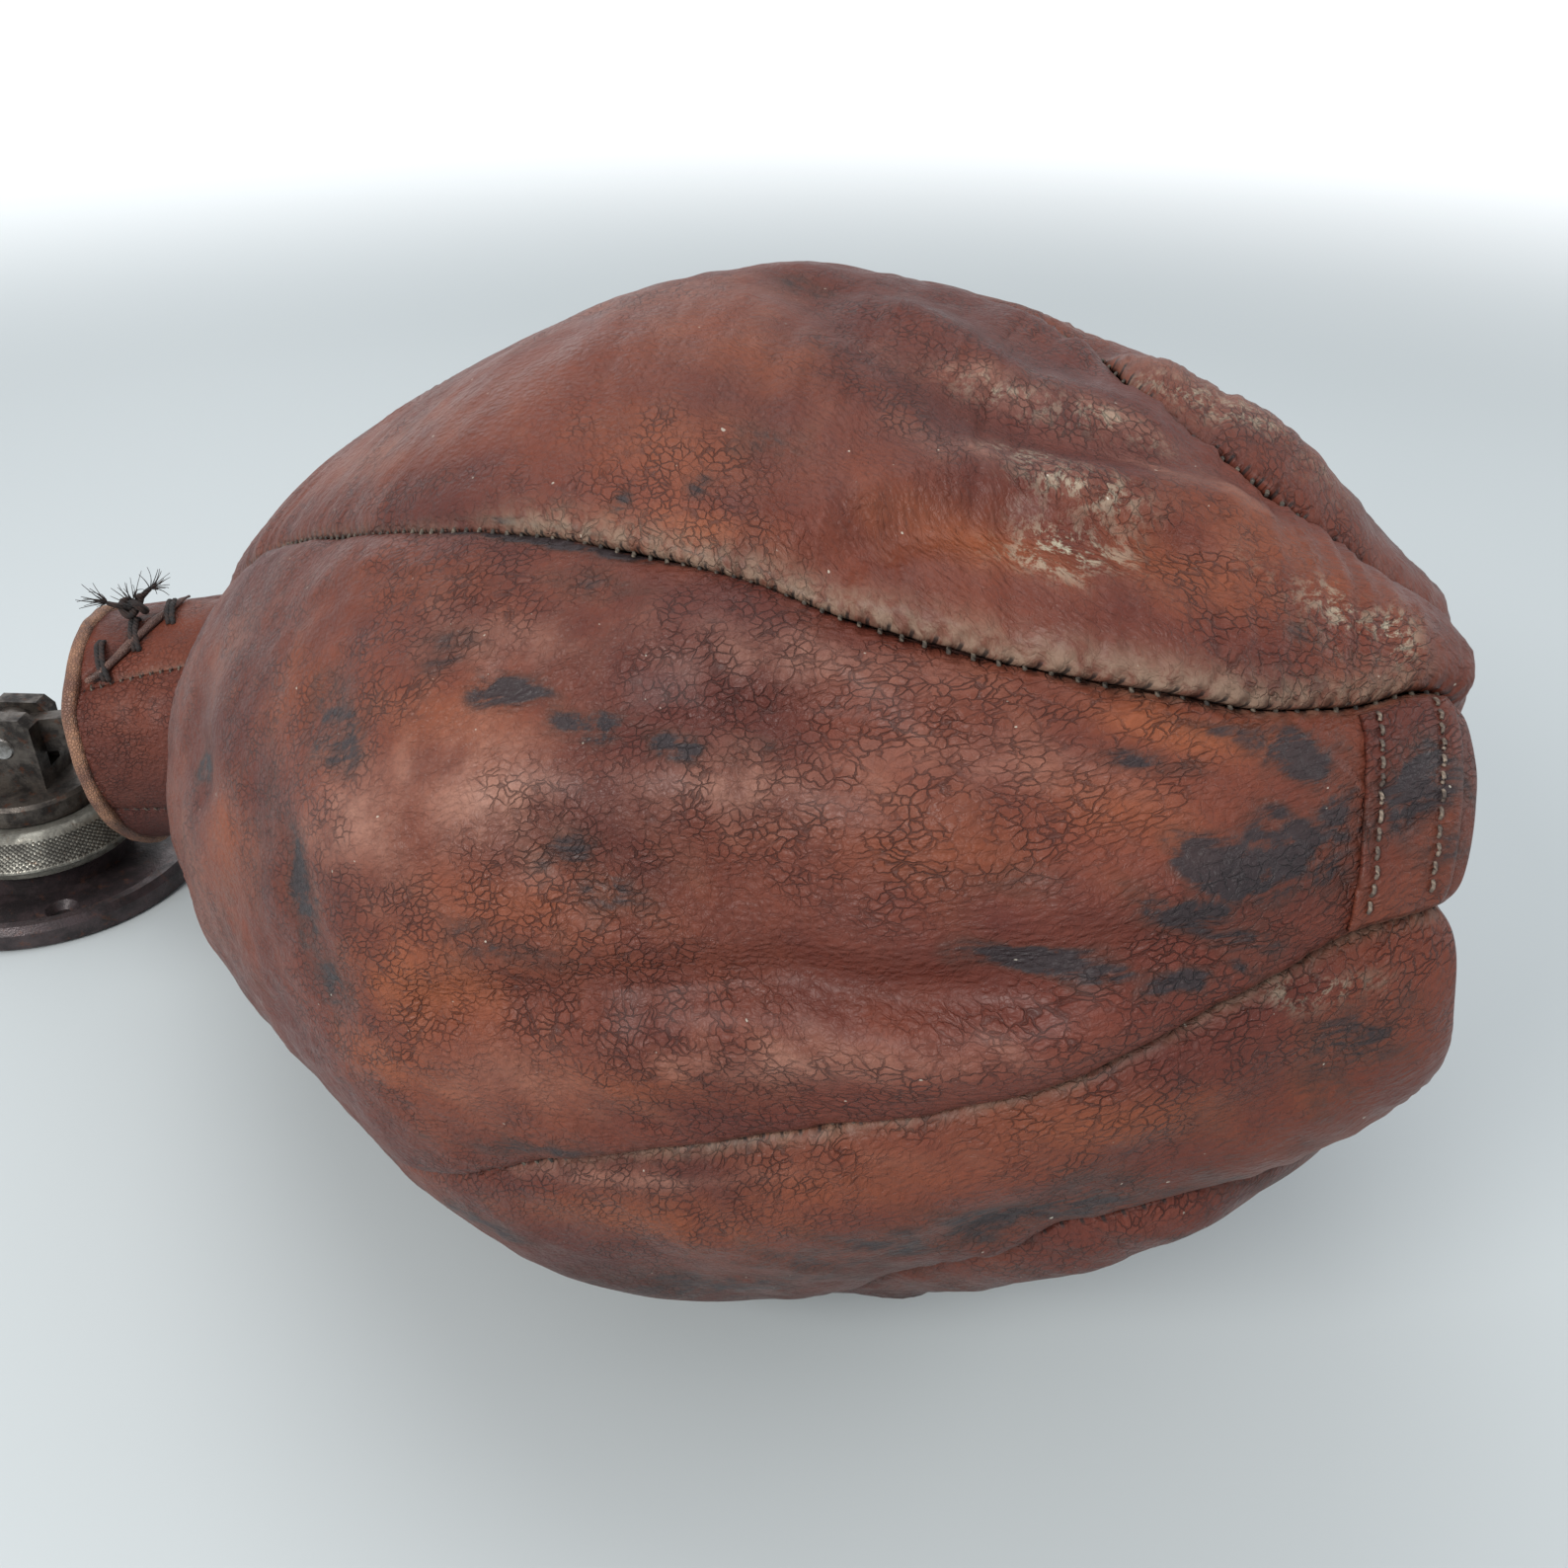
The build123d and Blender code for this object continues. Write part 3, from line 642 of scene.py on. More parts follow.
def leather_maps(n):
    """The patterns that the old leather's colour and relief share."""
    at = n.attribute("skin", vector=True)
    warp = n.add("ShaderNodeTexNoise", {"Vector": at, "Scale": 90.0, "Detail": 2.0}).outputs["Color"]
    warped = n.shift(at, n.stretch(warp, (0.0045, 0.0045, 0.0)))
    ripple = n.add("ShaderNodeTexNoise", {"Vector": at, "Scale": 480.0, "Detail": 3.0}).outputs["Color"]
    torn = n.shift(warped, n.stretch(ripple, (0.0024, 0.0024, 0.0)))
    m = SimpleNamespace(at=at, warped=warped)
    m.mottle = n.noise(warped, 130.0, 5.0, 0.65)
    m.fine = n.noise(at, 900.0, 3.0, 0.6)
    # broken cracks between flattened cells, and a rounder pebble grain
    cell = n.cells(n.stretch(torn, (0.8, 1.0, 1.0)), 640.0)
    broken = n.ramp(n.noise(at, 170.0, 3.0, 0.6), 0.36, 0.6, 0.2, 1.0)
    m.crack = n.times(n.ramp(cell, 0.0, 0.11, 1.0, 0.0), broken)
    m.small_crack = n.ramp(n.cells(torn, 1300.0), 0.0, 0.16, 1.0, 0.0)
    m.where_cracked = n.ramp(n.noise(at, 24.0, 2.0, 0.5), 0.38, 0.56)
    m.pebble = n.cells(n.stretch(warped, (0.8, 1.25, 1.0)), 900.0, "SMOOTH_F1")
    m.streak = n.noise(n.stretch(warped, (1.0, 7.0, 1.0)), 120.0, 3.0, 0.6)
    m.where_streaked = n.ramp(n.noise(at, 17.0, 1.0, 0.5), 0.45, 0.62)
    # seam dust, white bloom, and a wave with one crest for each stitch hole
    dusty = n.ramp(n.noise(torn, 260.0, 5.0, 0.75), 0.36, 0.6, 0.25, 1.0)
    m.dust = n.times(n.attribute("dust"), dusty, clamp=True)
    speck = n.ramp(n.noise(warped, 420.0, 4.0, 0.75), 0.47, 0.6)
    m.bloom = n.times(n.attribute("bloom"), speck, clamp=True)
    m.wave = n.math("SINE", n.times(n.attribute("seam_run"), 2 * math.pi / STITCH), 0.0)
    return m


def leather_colour(n, m):
    """Mahogany, painted shade low down, in the lacing slit, along the lower seam and in the stitch holes,
    rubbed patches partly painted as highlight, cracks, stains, dust and bloom.
    """
    blotch = n.noise(m.at, 22.0, 4.0, 0.6)
    broad = n.noise(m.at, 9.0, 2.0, 0.5)
    base = n.mix(n.ramp(blotch, 0.32, 0.68), rgb(0.082, 0.018, 0.012), rgb(0.17, 0.043, 0.021))
    base = n.mix(n.ramp(broad, 0.4, 0.65, 0.0, 0.45), base, rgb(0.12, 0.023, 0.015))
    # painted shade: darker towards the floor
    base = n.mix(n.times(n.attribute("low"), 0.85), base, rgb(0.05, 0.016, 0.014))
    base = n.mix(n.times(n.attribute("warm"), 0.7), base, rgb(0.31, 0.088, 0.03))
    # pale rubbed leather, partly painted highlight on the crests of folds
    pale = n.times(n.attribute("pale"), n.ramp(m.mottle, 0.3, 0.65, 0.35, 1.0))
    base = n.mix(n.times(pale, 0.75), base, rgb(0.39, 0.205, 0.15))
    base = n.mix(n.ramp(m.mottle, 0.25, 0.75, 0.24, 0.0), base, rgb(0.05, 0.018, 0.015))
    base = n.mix(n.ramp(m.fine, 0.35, 0.7, 0.16, 0.0), base, rgb(0.04, 0.015, 0.012))
    crack_dark = n.times(m.crack, n.ramp(m.where_cracked, 0.0, 1.0, 0.12, 0.62))
    base = n.mix(crack_dark, base, rgb(0.035, 0.014, 0.012))
    # dark stains, with painted shade in the lacing slit and a painted shadow along the lower seam
    torn_edge = n.ramp(n.noise(m.warped, 210.0, 4.0, 0.7), 0.28, 0.6, 0.45, 1.25)
    ragged = n.times(n.attribute("stain_and_shade"), torn_edge)
    ragged = n.times(ragged, n.ramp(m.streak, 0.3, 0.6, 0.7, 1.15), clamp=True)
    dark_tone = n.mix(n.ramp(ragged, 0.3, 0.75), rgb(0.055, 0.024, 0.016), rgb(0.02, 0.019, 0.022))
    base = n.mix(n.ramp(ragged, 0.08, 0.7, 0.0, 0.9), base, dark_tone)
    base = n.mix(n.times(m.dust, 0.72), base, rgb(0.27, 0.195, 0.14))
    base = n.mix(n.times(m.bloom, 0.85), base, rgb(0.46, 0.43, 0.32))
    flecks = n.ramp(n.noise(m.at, 700.0, 1.0, 0.4), 0.79, 0.82, 0.0, 0.7)
    base = n.mix(flecks, base, rgb(0.5, 0.46, 0.38))
    # painted shade: near-black dots in the stitch holes, which the mesh only dimples
    at_seam = n.ramp(n.attribute("seam_away"), 0.25, 1.0, 1.0, 0.0)
    hole_shade = n.times(n.ramp(m.wave, 0.72, 0.95), at_seam)
    return n.mix(n.times(hole_shade, 0.85), base, rgb(0.012, 0.01, 0.01))


def leather_height(n, m):
    """Pebbles, cracks, wrinkles and grain, and a scallop between each two stitch holes."""
    near_seam = n.ramp(n.attribute("seam_away"), 0.4, 3.0, 1.0, 0.0)
    crack_deep = n.times(m.crack, n.ramp(m.where_cracked, 0.0, 1.0, 0.2, 0.9))
    height = n.times(n.ramp(m.pebble, 0.0, 0.7, 1.0, 0.0), 0.75)
    height = n.math("SUBTRACT", height, crack_deep)
    height = n.math("SUBTRACT", height, n.times(m.small_crack, 0.12))
    height = n.plus(height, n.times(n.times(m.streak, m.where_streaked), 1.2))
    height = n.plus(height, n.times(m.mottle, 0.8))
    height = n.plus(height, n.times(m.fine, 0.22))
    height = n.plus(height, n.times(n.times(m.wave, near_seam), -0.9))
    return n.plus(height, n.times(m.bloom, 0.4))


def bag_leather():
    n = Net("old_bag_leather")
    m = leather_maps(n)
    rough = n.ramp(m.mottle, 0.25, 0.75, 0.36, 0.58)
    rough = n.plus(rough, n.times(m.dust, 0.3))
    rough = n.plus(rough, n.times(m.bloom, 0.35), clamp=True)
    return n.finish(
        Base_Color=leather_colour(n, m), Roughness=rough, Normal=n.bump(leather_height(n, m), 0.00042, 0.9),
        Specular_IOR_Level=0.22, Coat_Weight=0.06, Coat_Roughness=0.28,
    )


def simple_leather(name, dark, light, scale=1.0):
    """Plain worn leather for the small hidden or separate pieces."""
    n = Net(name)
    at = n.where()
    blotch = n.noise(at, 60.0 * scale, 4.0, 0.6)
    grain = n.cells(at, 700.0 * scale)
    fine = n.noise(at, 800.0, 3.0)
    base = n.mix(n.ramp(blotch, 0.35, 0.65), dark, light)
    base = n.mix(n.ramp(grain, 0.0, 0.12, 0.55, 0.0), base, rgb(0.03, 0.014, 0.01))
    base = n.mix(n.ramp(n.noise(at, 150.0, 4.0, 0.7), 0.5, 0.68, 0.0, 0.6), base, rgb(0.05, 0.03, 0.025))
    height = n.plus(n.ramp(grain, 0.0, 0.2), n.times(fine, 0.5))
    return n.finish(
        Base_Color=base, Roughness=n.ramp(blotch, 0.3, 0.7, 0.45, 0.65), Normal=n.bump(height, 0.0003, 0.8)
    )


def worn_metal(name, clean, grime, metal, rough, rust=0.3, grain=1.0):
    """Metal with grime, fine scratches and rust freckles."""
    n = Net(name)
    at = n.where()
    patch = n.noise(at, 90.0 * grain, 5.0, 0.65)
    scratch = n.noise(n.stretch(at, (1.0, 1.0, 9.0)), 420.0, 3.0, 0.6)
    pit = n.noise(at, 1300.0, 2.0, 0.5)
    base = n.mix(n.ramp(patch, 0.4, 0.62), clean, grime)
    base = n.mix(n.ramp(scratch, 0.56, 0.7, 0.0, 0.5), base, clean)
    freckle = n.ramp(n.noise(at, 260.0, 4.0, 0.7), 0.56, 0.68, 0.0, rust)
    base = n.mix(freckle, base, rgb(0.13, 0.045, 0.02))
    height = n.plus(n.times(patch, 1.2), n.times(pit, 0.6))
    height = n.plus(height, n.times(scratch, 0.4))
    roughness = n.ramp(patch, 0.3, 0.7, rough - 0.1, rough + 0.18)
    roughness = n.plus(roughness, n.times(freckle, 0.4))
    return n.finish(
        Base_Color=base, Metallic=metal, Roughness=roughness, Normal=n.bump(height, 0.00022, 0.8)
    )


def wood():
    n = Net("turned_plug_wood")
    at = n.where()
    swirl = {"Vector": at, "Scale": 70.0, "Distortion": 3.5, "Detail": 3.0}
    rings = n.add("ShaderNodeTexWave", swirl, wave_type="RINGS").outputs["Fac"]
    fibre = n.noise(n.stretch(at, (1.0, 12.0, 12.0)), 90.0, 4.0)
    base = n.mix(rings, rgb(0.32, 0.19, 0.09), rgb(0.18, 0.095, 0.045))
    base = n.mix(n.ramp(fibre, 0.4, 0.7, 0.0, 0.5), base, rgb(0.1, 0.055, 0.03))
    rough = n.ramp(fibre, 0.3, 0.7, 0.5, 0.75)
    return n.finish(Base_Color=base, Roughness=rough, Normal=n.bump(fibre, 0.0003))


def rubber():
    n = Net("bladder_rubber")
    at = n.where()
    patch = n.noise(at, 40.0, 4.0)
    fine = n.noise(at, 500.0, 3.0)
    base = n.mix(n.ramp(patch, 0.4, 0.62), rgb(0.12, 0.04, 0.03), rgb(0.2, 0.09, 0.06))
    base = n.mix(n.ramp(fine, 0.55, 0.75, 0.0, 0.5), base, rgb(0.3, 0.26, 0.22))
    rough = n.ramp(patch, 0.3, 0.7, 0.55, 0.8)
    return n.finish(Base_Color=base, Roughness=rough, Normal=n.bump(fine, 0.0002))


def fibre(name, dark, light):
    """Twisted thread or cord."""
    n = Net(name)
    at = n.where()
    twist = n.add(
        "ShaderNodeTexWave", {"Vector": at, "Scale": 420.0, "Distortion": 2.0, "Detail": 2.0},
        bands_direction="DIAGONAL",
    ).outputs["Fac"]
    dirt = n.noise(at, 300.0, 4.0, 0.7)
    base = n.mix(n.ramp(dirt, 0.38, 0.66), dark, light)
    base = n.mix(n.ramp(twist, 0.2, 0.6, 0.5, 0.0), base, dark)
    rough = n.ramp(dirt, 0.3, 0.7, 0.7, 0.95)
    return n.finish(Base_Color=base, Roughness=rough, Normal=n.bump(twist, 0.0002))


def pale_floor():
    n = Net("pale_floor_glowing_far_off")
    tone = n.noise(n.where(), 3.0, 2.0)
    base = n.mix(tone, rgb(0.5, 0.545, 0.555), rgb(0.53, 0.57, 0.58))
    # painted light: the floor glows white beyond about 0.7 m from its centre, a painted bright backdrop
    away = n.add("ShaderNodeVectorMath", {0: n.where()}, operation="LENGTH").outputs["Value"]
    far_glow = n.ramp(away, 0.7, 1.9, 0.0, 0.75)
    return n.finish(
        Base_Color=base, Roughness=n.ramp(tone, 0.3, 0.7, 0.6, 0.7), Emission_Color=rgb(1.0, 1.0, 1.0),
        Emission_Strength=far_glow,
    )


def dress(piece, material):
    piece.data.materials.clear()
    piece.data.materials.append(material)
    return piece


LEATHER_SKIN = bag_leather()
THREAD = fibre("dusty_seam_thread", rgb(0.03, 0.024, 0.02), rgb(0.17, 0.135, 0.1))
PALE_THREAD = fibre("pale_patch_thread", rgb(0.07, 0.05, 0.04), rgb(0.27, 0.21, 0.16))


def bag_pieces():
    for gore, name in enumerate(GORES):
        piece = outward(dress(build_gore(gore), LEATHER_SKIN))
        nodes = ["gore_" + name] + (["neck_sleeve"] if gore == FRONT else [])
        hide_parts(*nodes)
        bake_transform(piece)
    threads = outward(dress(seam_threads(), THREAD))
    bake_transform(threads)


THREAD_R = 0.42
THREAD_SINK = -1.1          # where the thread's ends start, measured from the seam's bottom
THREAD_ARCH = np.array([0.55, 0.95, 1.05, 0.95, 0.55])
THREAD_HALF = 1.5
THREAD_SPAN = (-44.0, 38.0)  # threads start past this lam, and stop where the tail is narrower than this


def seam_threads():
    """Short stitches across the bottom of each seam, one for each pair of holes."""
    rows = Rows(STITCH)
    rows.keep((rows.lam > THREAD_SPAN[0]) & (rows.r > THREAD_SPAN[1]))
    pieces = []
    for seam in range(len(SEAMS)):
        psi = seam_psi(seam, rows.progress)
        for k in range(len(rows.lam)):
            lam, r, run = rows.lam[k], rows.r[k], rows.progress[k]
            reach = math.degrees(THREAD_HALF / r)
            arc = psi[k] + np.linspace(-reach, reach, 5)
            depth = seam_depth(float(on_bag(run)), float(on_tail(run)))
            sunk = -depth + THREAD_SINK + THREAD_ARCH
            slant = np.linspace(-0.35, 0.35, 5)
            line_lam = lam + slant + sunk * rows.out_lam[k]
            path = place(line_lam, arc, r + sunk * rows.out_r[k])
            pieces.append(tube_along(rest_on_floor(path, 0.0), THREAD_R, 5))
    return joined("seam_threads", pieces)


# ---- the doubling patch over the front gore's tail end ----
PATCH_LAM = (342.4, 353.4)
PATCH_ACROSS = (0.05, 0.95)
PATCH_THICK = 1.3
PATCH_EDGE = 0.4
PATCH_BASE = 0.05
PATCH_ROW_STEP = 0.45
PATCH_OUTER = 97
PATCH_INNER = 13
PATCH_ROWS = (344.3, 351.2)     # its two lines of stitches
PATCH_STITCH = 2.7
NICK = (348.6, 54.4)


def patch_relief(rows, across):
    """What the patch's face loses: its rounded ends, its stitched lines and one nick."""
    lip = np.minimum(rows.run - rows.run[0], rows.run[-1] - rows.run)
    loss = 0.5 * np.exp(-lip / 0.5)[:, None]
    first = seam_psi(FRONT, rows.progress)[:, None]
    second = seam_psi(BOTTOM, rows.progress)[:, None]
    psi = first + (second - first) * across[None, :]
    y = np.radians(psi - NICK[1]) * rows.r[:, None]
    loss = loss + 1.15 * np.exp(-((rows.lam[:, None] - NICK[0]) / 1.3) ** 2 - (y / 2.4) ** 2)
    for line in PATCH_ROWS:
        loss = loss + 0.35 * np.exp(-((rows.lam[:, None] - line) / 0.7) ** 2)
    return loss


def build_patch():
    rows = Rows(PATCH_ROW_STEP)
    rows.keep((rows.lam > PATCH_LAM[0]) & (rows.progress < PATCH_LAM[1]))
    low, high = PATCH_ACROSS
    across = low + (high - low) * np.linspace(0, 1, PATCH_OUTER)
    coarse = (PATCH_OUTER - 1) // (PATCH_INNER - 1)
    parts = (
        skin(FRONT, rows, across, patch_relief(rows, across) - PATCH_THICK),
        skin(FRONT, rows, across[-1:], -PATCH_EDGE),
        skin(FRONT, rows, across[::-coarse], -PATCH_BASE),
        skin(FRONT, rows, across[:1], -PATCH_EDGE),
    )
    points = np.concatenate([p[0] for p in parts], axis=1)
    coords = np.concatenate([p[2] for p in parts], axis=1) + (0.0, 0.0, 0.37)
    values = {k: np.concatenate([p[1][k] for p in parts], axis=1) for k in parts[0][1]}
    values["seam_away"] = values["seam_away"] + 9.0
    faces = shell_faces(points.shape[0], PATCH_OUTER, PATCH_INNER)
    values = {k: v.ravel() for k, v in values.items()}
    return make_object("tail_patch_leather", points.reshape(-1, 3), faces, values, coords.reshape(-1, 3))


def patch_stitches():
    """Thread dashes in the patch's two stitched lines."""
    fine = Rows(0.2)
    pieces = []
    for line in PATCH_ROWS:
        k = int(np.argmin(np.abs(fine.progress - line)))
        first, second = (float(seam_psi(s, np.array([line]))[0]) for s in (FRONT, BOTTOM))
        r = fine.r[k]
        span = math.radians(second - first) * r
        for i in range(int((0.86 * span) / PATCH_STITCH)):
            y0 = 0.07 * span + i * PATCH_STITCH
            y = y0 + np.linspace(0.0, 1.75, 6)
            u = y / span
            psi = first + (second - first) * u
            lam = np.full(6, line)
            rr = np.full(6, r)
            base = relief(FRONT, lam, psi, rr, y, span - y, u)
            lift = base + PATCH_THICK - 0.25 + 0.45 * np.sin(np.linspace(0.0, np.pi, 6))
            wobble = 0.1 * math.sin(2.3 * i)
            path = place(lam + wobble + lift * fine.out_lam[k], psi, rr + lift * fine.out_r[k])
            pieces.append(tube_along(path, 0.3, 6))
    return joined("tail_patch_stitches", pieces)


DISC_R = 25.0
DISC_LAM = 346.4
DISC_CROWN = 2.0
DISC_RINGS = 40
DISC_SIDES = 96


def tail_disc():
    """The leather disc that the gathered gore ends are tucked round."""
    rings = np.linspace(0.4, DISC_R, DISC_RINGS)
    psi = np.linspace(0.0, 360.0, DISC_SIDES, endpoint=False)
    ring, angle = np.meshgrid(rings, psi, indexing="ij")
    crown = DISC_CROWN * (1 - (ring / DISC_R) ** 2)
    flat = np.stack([ring * np.cos(np.radians(angle)), ring * np.sin(np.radians(angle)), 0 * ring], -1)
    crown = crown + 0.5 * noise(flat, 9.0, 41)
    top = place(DISC_LAM + crown, angle, ring)
    under = place(DISC_LAM - LEATHER + 0 * ring, angle, ring)
    points = np.concatenate([top.reshape(-1, 3), under[::-1].reshape(-1, 3)])
    return make_object("tail_disc_leather", points, tube_faces(2 * DISC_RINGS, DISC_SIDES))


def tail_pieces():
    patch = outward(dress(build_patch(), LEATHER_SKIN))
    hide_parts("tail_patch")
    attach(patch, "bag")
    stitches = outward(dress(patch_stitches(), PALE_THREAD))
    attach(stitches, "bag")
    disc_hide = simple_leather("tail_disc_hide", rgb(0.09, 0.035, 0.025), rgb(0.2, 0.08, 0.05))
    disc = outward(dress(tail_disc(), disc_hide))
    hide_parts("tail_disc")
    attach(disc, "bag")


# ================================================================ inside the bag
BLADDER_SIDES = 120
BLADDER_INSIDE = 8.5        # how far the rubber lies inside the casing's outline
BLADDER_SPAN = (56.0, 346.0)
TIE_RING = 5.25
TIE_TURNS = 3.5


def build_bladder():
    """A slack rubber bladder, wrinkled, a little inside the leather."""
    rows = Rows(4.0)
    rows.keep((rows.lam > BLADDER_SPAN[0]) & (rows.progress < BLADDER_SPAN[1]))
    psi = np.linspace(0.0, 360.0, BLADDER_SIDES, endpoint=False)
    lam = rows.lam[:, None] + 0 * psi
    angle = psi[None, :] + 0 * lam
    closing = np.minimum(ease(rows.lam, 54.0, 84.0), 1 - ease(rows.lam, 322.0, 345.0))[:, None]
    r = (rows.r[:, None] - BLADDER_INSIDE) * (0.16 + 0.84 * np.sqrt(closing))
    base = np.stack([np.cos(np.radians(angle)) * 60, np.sin(np.radians(angle)) * 60, lam], -1)
    r = r + 1.6 * noise(base, 24.0, 51) * closing + 0.8 * noise(base * (1.0, 1.0, 0.2), 7.0, 52) * closing
    points = rest_on_floor(place(lam, angle, r), 6.5)
    faces = tube_faces(len(rows.lam), BLADDER_SIDES)
    return make_object("slack_bladder", points.reshape(-1, 3), faces)


def inner_pieces(rubber_skin):
    bladder = outward(dress(build_bladder(), rubber_skin))
    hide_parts("bladder")
    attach(bladder, "bag")
    turns = np.linspace(0.0, 2 * np.pi * TIE_TURNS, 150)
    path = place(np.linspace(46.3, 48.7, 150), np.degrees(turns), TIE_RING + 0 * turns)
    twine = fibre("waxed_tie_twine", rgb(0.14, 0.1, 0.06), rgb(0.36, 0.28, 0.18))
    tie = outward(dress(joined("stem_tie_twine", [tube_along(path, 0.5, 8)]), twine))
    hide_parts("stem_tie")
    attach(tie, "bag")


# ================================================================ the neck
NECK_R = 38.6
RIM_COUNT = 240
RIM_SIDES = 18


def neck_rim():
    """The rolled tan edge round the neck's mouth."""
    psi = np.linspace(0.0, 360.0, RIM_COUNT, endpoint=False)[:, None]
    a = np.linspace(0.0, 2 * np.pi, RIM_SIDES, endpoint=False)[None, :]
    around = np.stack([np.cos(np.radians(psi)) * 38, np.sin(np.radians(psi)) * 38, 0 * psi], -1)
    wander = 0.7 * noise(around, 11.0, 61)
    swell = 1 + 0.16 * noise(around, 5.0, 62)
    corner = np.sign(np.cos(a)) * np.abs(np.cos(a)) ** 0.7, np.sign(np.sin(a)) * np.abs(np.sin(a)) ** 0.7
    lam = -49.2 + wander + 2.4 * corner[0]
    r = 37.6 + 0.4 * wander + 2.3 * swell * corner[1]
    points = place(lam, psi + 0 * a, r)
    return make_object("neck_rim_fold", points.reshape(-1, 3), torus_faces(RIM_COUNT, RIM_SIDES))


SLIT_LINE = ((-45.0, 43.0), (-41.0, 40.0), (-35.0, 31.0), (-28.5, 17.0), (-24.0, 2.0), (-23.0, -14.0))


def along_slit(count, lift, sideways=0.0):
    """Points along the slit's edge, lifted off the neck."""
    knots = np.array(SLIT_LINE)
    t = np.linspace(0.0, 1.0, count)
    at = np.linspace(0.0, 1.0, len(knots))
    lam = through(t, np.c_[at, knots[:, 0]]) + sideways
    psi = through(t, np.c_[at, knots[:, 1]])
    return place(lam, psi, NECK_R + lift + 0 * lam)


def slit_lip():
    """The turned edge of the leather along the slit."""
    path = along_slit(60, 0.75, 1.2)
    t = np.linspace(0.0, 1.0, 60)
    radius = 0.5 + 0.85 * np.sin(np.pi * np.clip(t * 1.05, 0, 1)) ** 0.5 + 0.12 * np.sin(31 * t)
    return joined("slit_lip", [tube_along(path, radius, 12)])


LACE_AT = ((-39.5, 32.0), (-31.0, 18.0), (-22.5, 3.0))


def lace_turns():
    """Three flat turns of lace across the slit, ends tucked under its edges."""
    pieces = []
    for lam0, psi0 in LACE_AT:
        t = np.linspace(-1.0, 1.0, 22)
        lam = lam0 + 2.2 * t
        psi = psi0 + 11.0 * t
        lift = 1.9 - 2.3 * np.abs(t) ** 3
        centre = place(lam, psi, NECK_R + lift)
        for shift in (-0.75, 0.75):
            twist = np.stack([0 * t, 0 * t, 0.2 * np.sin(9 * t + shift)], -1)
            pieces.append(tube_along(centre + shift * NECK_AXES[0] + twist, 0.85, 8))
    return joined("lace_turns", pieces)


def lace_knot():
    """The overhand knot of the lace, two cut ends, and the fibres frayed out of them."""
    rng = np.random.default_rng(7)
    middle = place(np.array([-31.5]), np.array([8.0]), np.array([43.6]))[0]
    along, up, side = NECK_AXES
    t = np.linspace(0.0, 2 * np.pi, 60)
    loop = (
        middle
        + np.outer(3.1 * (np.sin(t) + 2 * np.sin(2 * t)) / 2.6, along)
        + np.outer(3.1 * (np.cos(t) - 2 * np.cos(2 * t)) / 2.6, side)
        + np.outer(-1.9 * np.sin(3 * t), up)
    )
    pieces = [tube_along(loop[:-1], 1.25, 9)]
    ends = (
        (np.array([-4.0, 2.5, 5.0]), np.array([-9.0, 4.5, 1.0])),
        (np.array([3.0, 3.0, -4.0]), np.array([9.0, 5.5, -1.0])),
    )
    for first, last in ends:
        s = np.linspace(0.0, 1.0, 16)[:, None]
        local = first * s * (1.6 - s) + last * s * s * 0.4
        path = middle + local[:, :1] * along + local[:, 1:2] * up + local[:, 2:] * side
        pieces.append(tube_along(path, np.linspace(1.15, 0.7, 16), 8))
        tip = path[-1]
        for _ in range(26):
            aim = (path[-1] - path[-5]) / np.linalg.norm(path[-1] - path[-5]) + 0.75 * rng.normal(size=3)
            aim[2] = abs(aim[2]) * 0.8 + 0.1
            length = rng.uniform(3.0, 10.0)
            curl = 0.5 * rng.normal(size=3)
            q = np.linspace(0.0, 1.0, 9)[:, None]
            hair = tip - 0.6 * aim + length * q * aim / np.linalg.norm(aim) + length * 0.5 * q * q * curl
            pieces.append(tube_along(hair, np.linspace(0.2, 0.09, 9), 4))
    for _ in range(30):
        aim = rng.normal(size=3)
        aim[2] = abs(aim[2]) + 0.2
        aim /= np.linalg.norm(aim)
        curl = 0.6 * rng.normal(size=3)
        length = rng.uniform(2.0, 7.0)
        q = np.linspace(0.0, 1.0, 8)[:, None]
        hair = middle + 2.5 * aim + length * q * aim + length * 0.5 * q * q * curl
        pieces.append(tube_along(hair, np.linspace(0.18, 0.08, 8), 4))
    return joined("lace_knot_frayed", pieces)


def neck_pieces():
    tan = simple_leather("rim_tan_leather", rgb(0.16, 0.07, 0.045), rgb(0.32, 0.16, 0.09), 1.6)
    cord = fibre("dark_lace_cord", rgb(0.012, 0.01, 0.01), rgb(0.055, 0.03, 0.024))
    lip_hide = simple_leather("slit_edge_leather", rgb(0.1, 0.05, 0.04), rgb(0.21, 0.11, 0.08), 2.0)
    for piece, material, nodes, slot in (
        (neck_rim(), tan, ["neck_rim"], "rim_leather"),
        (slit_lip(), lip_hide, ["lacing_flap"], "bag_leather"),
        (lace_turns(), cord, ["lace"], "lace_cord"),
        (lace_knot(), cord, ["lace_knot"], "lace_cord"),
    ):
        outward(dress(piece, material))
        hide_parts(*nodes)
        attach(piece, "neck")


